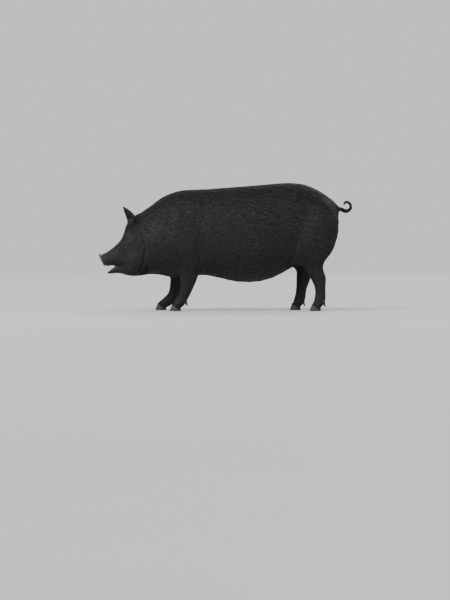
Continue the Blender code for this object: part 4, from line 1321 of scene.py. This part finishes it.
def hair_table(shares, spots):
    """Density, length and half width of the hair at places with given shares of the parts."""
    table = sum(shares[name][:, None] * np.array(BRISTLES[name])[None] for name in PARTS)
    density, length, width = table.T
    from_snout = np.linalg.norm(spots - np.array(NOSE_TIP), axis=1)
    face, trunk = shares["face"], shares["trunk"]
    length = length * (1 - face) + np.interp(from_snout, *FACE_HAIR) * face
    length = length * (1 + trunk * (np.interp(spots[:, 2], *TRUNK_LENGTH) - 1))
    density = density * (1 + trunk * (np.interp(spots[:, 2], *BELLY_DENSITY) - 1))
    # Shorter towards the eyes, longer at the edges of the ears and the tip of the tail
    length = length * (0.35 + 0.65 * step(distance_to(spots, eye_middles()), 0.012, 0.050))
    for side in SIDES.values():
        _, _, _, edge = ear_place(spots, side)
        mine = (spots[:, 1] * side > 0) * shares["ears"]
        length = length * (1 + 0.9 * mine * step(edge, 0.70, 0.92))
    to_tip = np.linalg.norm(spots - np.array(TAIL_ROUTE[-1]), axis=1)
    length = length * (1 + 0.5 * shares["tail"] * (1 - step(to_tip, 0.010, 0.035)))
    return density, length, width


def bare_places(hide, surface, shares):
    """How bare each face of the hide is: round the eyes, in mouth, nose, ears and rear."""
    middles = surface.middles
    reach = np.linalg.norm((middles - np.array(MOUTH_MIDDLE)) / MOUTH_BARE, axis=1)
    # The mask of painted shade marks the nostrils and the ear conchs, which stay bare
    dark = surface.on_faces(attribute_values(hide, "dark"))
    return np.max([
        near(middles, eye_middles(), BARE_EYE), reach < 1, step(shares["nose"], 0.15, 0.4),
        near(middles, rear_places(), BARE_REAR), dark > 0.2,
    ], axis=0)


def lashes(rng):
    """The lines and outward ways of the lashes of both upper lids."""
    lines, outs = [], []
    for centre, axes in eye_frames().values():
        for share in rng.uniform(*LASH_SPREAD, LASHES):
            spot = np.array((LID_HALF_LENGTH * share, UPPER_LID * (1 - share * share) ** 0.65 + 0.0010))
            depth = math.sqrt((BALL_RADIUS + 0.0012) ** 2 - spot @ spot)
            root = np.array((*spot, depth))
            lean = np.array((0.6 * share - 0.25, 0.25, 0.80)) + rng.normal(0, 0.14, 3)
            ahead = unit(lean) * rng.uniform(*LASH_HALF)
            middle = root + ahead
            tip = middle + ahead + np.array((0, 0.0012, 0))
            lines.append(np.array((root, middle, tip)) @ axes + centre)
            outs.append(np.tile(axes[1], (3, 1)))
    return np.array(lines), np.array(outs)


def coat_lots(roots, shares):
    """The name of each piece of the coat, with the numbers of the tufts in it."""
    owner = np.stack([shares[name] for name in PARTS], axis=1).argmax(axis=1)
    names = np.array(list(PARTS))[owner]
    for label, parts in COAT_PIECES.items():
        mine = np.nonzero(np.isin(names, parts))[0]
        mine = mine[np.argsort(roots[mine, 0], kind="stable")]
        lots = max(1, math.ceil(len(mine) / MOST_TUFTS))
        for number, lot in enumerate(np.array_split(mine, lots), 1):
            yield f"coat_{label}_{number}" if lots > 1 else f"coat_{label}", lot


def build_coat():
    """Roots the bristles all over the hide, combs them and joins them by the part they grow on."""
    looks = bpy.context.scene.pig_coat
    hide = bpy.data.objects["hide"]
    surface = Surface(hide)
    rng = np.random.default_rng(COAT_SEED)
    on_faces = {name: surface.on_faces(values) for name, values in kept_masks(hide).items()}
    density, _, _ = hair_table(on_faces, surface.middles)
    covered = 1 - bare_places(hide, surface, on_faces)
    chosen, roots = surface.roots(surface.areas * 1e4 * density * looks.density * covered, rng)
    shares = {name: values[chosen] for name, values in on_faces.items()}
    count = len(roots)
    _, length, width = hair_table(shares, roots)
    length = length * looks.length * rng.uniform(0.62, 1.25, count)
    width = width * looks.width * rng.uniform(0.7, 1.2, count)
    rise = (0.0003 + 0.065 * length) * rng.uniform(0.5, 1.15, count)
    muzzle = np.linalg.norm(roots - np.array(NOSE_TIP), axis=1)
    whisker = rng.random(count) < WHISKERS[0] * looks.whiskers
    whisker &= (muzzle > WHISKER_REACH[0]) & (muzzle < WHISKER_REACH[1])
    length[whisker], width[whisker], rise[whisker] = WHISKERS[1:]
    way = lie_of(roots, shares)
    side = np.cross(unit(surface.on_faces(surface.normals)[chosen]), way)
    turn = 0.10 * wander(roots, 0.09, 21) + 0.06 * wander(roots, 0.03, 22) + rng.normal(0, 0.10, count)
    line, normals = comb(surface, roots, unit(way + side * turn[:, None]), length)
    shade = np.clip(0.45 + 0.16 * wander(roots, 0.05, 23) + rng.normal(0, 0.20, count), 0, 1)
    spots = unwrap_spots(hide, roots)
    profile = tuft_profile()
    material = bristle_material(looks)
    for name, lot in coat_lots(roots, shares):
        piece = tufts(
            name, line[lot], normals[lot], width[lot], rise[lot], shade[lot], profile, spots[lot]
        )
        dress(piece, material)
    lines, outs = lashes(rng)
    even = np.ones(len(lines))
    spots = unwrap_spots(hide, lines[:, 0])
    piece = tufts("coat_lashes", lines, outs, even * LASH_WIDTH, even * 0, even * 0.2, profile, spots)
    dress(piece, material)
    for name in PARTS:
        hide.data.attributes.remove(hide.data.attributes["part_" + name])


# Eyes, tongue and claws

# The clear cornea stands out of the ball by a share of its radius, out to some degrees from
# its middle
CORNEA_BULGE = 0.045
CORNEA_EDGE = (8, 36)
# The tongue's furrow and the rings of the horn: half width or turn along the claw, and height
FURROW_WIDTH, FURROW_DEPTH = 0.0022, 0.0012
RING_TURN, RING_HEIGHT = 40, 0.00016
SHARP_ANGLE = math.radians(50)
HORN_BEVEL = 0.0012


def build_eyes():
    """Makes both eyeballs, with a bulging cornea, in place of the solids."""
    material = eye_material(bpy.context.scene.pig_eyes)
    for name, (centre, axes) in eye_frames().items():
        bpy.ops.object.select_all(action="DESELECT")
        bpy.ops.mesh.primitive_uv_sphere_add(segments=48, ring_count=32, radius=BALL_RADIUS)
        ball = added(name + "_eyeball")
        points = places(ball)
        off = np.degrees(np.arccos(np.clip(points[:, 2] / BALL_RADIUS, -1, 1)))
        bulge = 1 + CORNEA_BULGE * (1 - step(off, *CORNEA_EDGE))
        points *= bulge[:, None]
        set_places(ball, points @ axes + centre)
        attribute(ball, "gaze", np.clip(off / 90, 0, 1))
        bpy.ops.object.shade_smooth()
        dress(ball, material)
        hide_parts(name + "_eye")


def build_tongue():
    """Makes the tongue, with a furrow down its middle."""
    tongue = take_copy("tongue_flesh", ("tongue",))
    modify(tongue, "SUBSURF", levels=2, render_levels=2)
    points, normals = places(tongue), outward(tongue)
    furrow = hill(points[:, 1], FURROW_WIDTH) * (normals[:, 2] > 0.3)
    set_places(tongue, points - normals * (furrow * FURROW_DEPTH)[:, None])
    only(tongue)
    bpy.ops.object.shade_smooth()
    dress(tongue, tongue_material(bpy.context.scene.pig_tongue))
    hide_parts("tongue")


def build_claws():
    """Makes the horn of every claw and dewclaw, thinner under the skin's cuff."""
    looks = bpy.context.scene.pig_claws
    material = horn_material(looks)
    for foot, kind, side in product(FEET, CUFF_REACH, SIDES):
        source = f"{foot}_{kind}_{side}"
        horn = take_copy(source + "_horn", (source,))
        with editing(horn):
            bpy.ops.mesh.tris_convert_to_quads(face_threshold=1.2, shape_threshold=1.6)
        modify(horn, "BEVEL", width=HORN_BEVEL, segments=2, limit_method="ANGLE", angle_limit=SHARP_ANGLE)
        modify(horn, "SUBSURF", levels=2, render_levels=2)
        points, normals = places(horn), outward(horn)
        height = points @ np.array(BAND_UP.normalized())
        height -= height.max()
        under = step(height, -1.2 * CUFF_REACH[kind], -0.6 * CUFF_REACH[kind])
        points -= normals * (under * CUFF_ROOM)[:, None]
        if kind == "claw":
            wall = step(1 - np.abs(normals[:, 2]), 0.3, 0.6)
            rings = np.sin(points[:, 2] * 2 * math.pi / looks.ring_height + points[:, 0] * RING_TURN)
            points += normals * (wall * rings * RING_HEIGHT)[:, None]
            points[:, 2] = np.maximum(points[:, 2], 0)
        set_places(horn, points)
        only(horn)
        bpy.ops.object.shade_smooth_by_angle(angle=SHARP_ANGLE)
        dress(horn, material)
        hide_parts(source)


# Stage

# Broad soft lamps: name, where from, how wide in degrees, strength
STUDIO_SUNS = (
    ("key_light", (-3.2, -4.6, 5.0), 40, 2.5),
    ("fill_light", (4.6, -3.4, 2.2), 50, 0.5),
    ("back_light", (1.6, 4.6, 4.0), 35, 0.8),
)
SOFT_BOX = Vector((-3.4, -2.6, 2.2))
SOFT_BOX_SIZE = 1.6
BODY_MIDDLE = Vector((0, 0, 0.40))
SENSOR_WIDTH = 36.0
VIEW_REACH = 200.0


def aimed(spot, target):
    """How a lamp or a camera is turned that stands at a spot and looks at a target."""
    return (target - Vector(spot)).to_track_quat("-Z", "Y").to_euler()


def build_lamps(looks):
    """Sets up the broad lamps and the soft box beside the head."""
    for name, spot, width, power in STUDIO_SUNS:
        bpy.ops.object.light_add(type="SUN", location=spot)
        light = added(name)
        light.data.angle = math.radians(width)
        light.data.energy = power * looks.light
        light.rotation_euler = aimed(spot, BODY_MIDDLE)
    bpy.ops.object.light_add(type="AREA", location=SOFT_BOX)
    light = added("soft_box")
    light.data.size = SOFT_BOX_SIZE
    light.data.energy = looks.soft_box
    light.rotation_euler = aimed(SOFT_BOX, BODY_MIDDLE)


def build_stage():
    """Sets up the floor, the light and the camera, which looks at the animal's left side."""
    looks = bpy.context.scene.pig_stage
    bpy.ops.object.select_all(action="DESELECT")
    bpy.ops.mesh.primitive_circle_add(vertices=128, radius=1.0, fill_type="NGON")
    floor = added("studio_floor")
    bpy.ops.transform.resize(value=(looks.floor_radius, looks.floor_radius, 1))
    bpy.ops.object.transform_apply(location=False, rotation=False, scale=True)
    floor.data.materials.append(floor_material(looks))
    world = bpy.data.worlds.new("soft_studio")
    world.use_nodes = True
    back = world.node_tree.nodes["Background"]
    wire(back, values={"Color": (*looks.sky_colour, 1), "Strength": looks.sky})
    bpy.context.scene.world = world
    build_lamps(looks)
    middle, tilt = Vector(looks.view_middle), looks.view_elevation
    spot = middle + Vector((0, -math.cos(tilt), math.sin(tilt))) * looks.view_distance
    bpy.ops.object.camera_add(location=spot)
    camera = added("side_view")
    camera.rotation_euler = aimed(spot, middle)
    camera.data.sensor_width = SENSOR_WIDTH
    camera.data.lens = SENSOR_WIDTH * looks.view_distance / looks.view_height
    camera.data.clip_end = VIEW_REACH
    bpy.context.scene.camera = camera


# Settings

def colour_setting(name, description, code):
    """A colour given as an sRGB hex code."""
    return FloatVectorProperty(
        name=name, description=description, subtype="COLOR", size=3, min=0, max=1, default=linear(code)
    )


def length_setting(name, description, default):
    """A length in metres."""
    return FloatProperty(
        name=name, description=description, default=default, subtype="DISTANCE", unit="LENGTH", precision=5
    )


def share_setting(name, description, default=1.0):
    """A share or a strength."""
    return FloatProperty(name=name, description=description, default=default)


class PigHideSettings(bpy.types.PropertyGroup):
    """What can be changed on the hide"""

    skin_dark: colour_setting("Dark skin", "The hide's darker mottling", "#131212")
    skin_light: colour_setting("Light skin", "The hide's lighter mottling", "#201e1d")
    nose_colour: colour_setting("Nose disc", "The bare skin of the nose disc", "#342e2d")
    mouth_colour: colour_setting("Mouth", "The lining of the mouth", "#382524")
    closing: length_setting("Closing", "How far the parts grow so that they join", 0.0012)
    fineness: length_setting("Fineness", "The size of the grid that joins the parts", 0.0034)
    triangles: IntProperty(name="Triangles", description="Triangles left in the hide", default=188000)
    fold_strength: share_setting("Folds", "Depth of the folds, as a share")


class PigCoatSettings(bpy.types.PropertyGroup):
    """What can be changed on the coat"""

    hair_dark: colour_setting("Darkest hair", "The darkest bristles", "#080809")
    hair_mid: colour_setting("Usual hair", "Most bristles", "#111112")
    hair_light: colour_setting("Palest hair", "The palest bristles", "#232120")
    density: share_setting("Density", "Number of tufts, as a share")
    length: share_setting("Length", "Length of the bristles, as a share")
    width: share_setting("Width", "Width of the tufts, as a share")
    whiskers: share_setting("Whiskers", "Number of whiskers, as a share")


class PigEyeSettings(bpy.types.PropertyGroup):
    """What can be changed on the eyes"""

    iris: colour_setting("Iris", "The brown of the iris", "#21120a")


class PigTongueSettings(bpy.types.PropertyGroup):
    """What can be changed on the tongue"""

    tongue_dark: colour_setting("Dark flesh", "The tongue's darker clouds", "#5b3a38")
    tongue_light: colour_setting("Light flesh", "The tongue's lighter clouds", "#7b524e")


class PigClawSettings(bpy.types.PropertyGroup):
    """What can be changed on the claws"""

    horn_dark: colour_setting("Dark horn", "The horn's darker clouds", "#171514")
    horn_light: colour_setting("Light horn", "The horn's lighter clouds", "#2b2724")
    ring_height: length_setting("Rings", "Height of a growth ring", 0.0034)


class PigStageSettings(bpy.types.PropertyGroup):
    """What can be changed on the stage"""

    floor_colour: colour_setting("Floor", "The studio floor", "#c6c5c2")
    floor_radius: length_setting("Floor radius", "How far the floor reaches", 60.0)
    sky_colour: colour_setting("Sky", "The pale light all round", "#e4e5e6")
    sky: share_setting("Sky strength", "Strength of the light all round", 1.05)
    soft_box: share_setting("Soft box", "Strength of the near lamp", 40.0)
    light: share_setting("Lights", "Strength of the lamps, as a share")
    view_middle: FloatVectorProperty(
        name="Middle", description="What the camera looks at", subtype="TRANSLATION",
        default=(-0.003, 0, 0.066),
    )
    view_elevation: FloatProperty(
        name="Elevation", description="Angle of the camera above the floor", subtype="ANGLE",
        default=math.radians(1.0),
    )
    view_distance: length_setting("Distance", "How far away the camera stands", 12.0)
    view_height: length_setting("View height", "Height of the view at the pig", 3.75)


# Operators

class PIG_OT_hide(bpy.types.Operator):
    """Makes the hide: one skin over all the flesh, with folds, lids and lips"""

    bl_idname = "pig.hide"
    bl_label = "Hide"

    def execute(self, context):
        build_hide()
        return {"FINISHED"}


class PIG_OT_eyes(bpy.types.Operator):
    """Makes the two eyeballs, seated behind the lids"""

    bl_idname = "pig.eyes"
    bl_label = "Eyes"

    def execute(self, context):
        build_eyes()
        return {"FINISHED"}


class PIG_OT_tongue(bpy.types.Operator):
    """Makes the tongue, which shows in the open mouth"""

    bl_idname = "pig.tongue"
    bl_label = "Tongue"

    def execute(self, context):
        build_tongue()
        return {"FINISHED"}


class PIG_OT_claws(bpy.types.Operator):
    """Makes the eight main claws and the eight dewclaws"""

    bl_idname = "pig.claws"
    bl_label = "Claws"

    def execute(self, context):
        build_claws()
        return {"FINISHED"}


class PIG_OT_coat(bpy.types.Operator):
    """Roots the bristle coat in the hide and combs it along the body"""

    bl_idname = "pig.coat"
    bl_label = "Coat"

    def execute(self, context):
        build_coat()
        return {"FINISHED"}


class PIG_OT_stage(bpy.types.Operator):
    """Makes the studio floor, the lamps and the camera"""

    bl_idname = "pig.stage"
    bl_label = "Stage"

    def execute(self, context):
        build_stage()
        return {"FINISHED"}


SETTINGS = {
    "pig_hide": PigHideSettings,
    "pig_coat": PigCoatSettings,
    "pig_eyes": PigEyeSettings,
    "pig_tongue": PigTongueSettings,
    "pig_claws": PigClawSettings,
    "pig_stage": PigStageSettings,
}
OPERATORS = (PIG_OT_hide, PIG_OT_eyes, PIG_OT_tongue, PIG_OT_claws, PIG_OT_coat, PIG_OT_stage)


class PIG_PT_sidebar(bpy.types.Panel):
    """The pieces of the pig and their settings"""

    bl_label = "Pig"
    bl_idname = "PIG_PT_sidebar"
    bl_space_type = "VIEW_3D"
    bl_region_type = "UI"
    bl_category = "Pig"

    def draw(self, context):
        for piece in OPERATORS:
            self.layout.operator(piece.bl_idname)
        for name, group in SETTINGS.items():
            box = self.layout.box()
            for setting in group.__annotations__:
                box.prop(getattr(context.scene, name), setting)


def register():
    """Makes the settings, the operators and the panel known."""
    for made in (*SETTINGS.values(), *OPERATORS, PIG_PT_sidebar):
        bpy.utils.register_class(made)
    for name, group in SETTINGS.items():
        setattr(bpy.types.Scene, name, PointerProperty(type=group))


def unregister():
    """Takes them away again."""
    for name in SETTINGS:
        delattr(bpy.types.Scene, name)
    for made in (PIG_PT_sidebar, *OPERATORS, *SETTINGS.values()):
        bpy.utils.unregister_class(made)


def main():
    """Builds the pig and its stage."""
    register()
    bpy.ops.pig.hide()
    bpy.ops.pig.eyes()
    bpy.ops.pig.tongue()
    bpy.ops.pig.claws()
    bpy.ops.pig.coat()
    bpy.ops.pig.stage()
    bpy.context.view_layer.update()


if __name__ == "__main__":
    main()
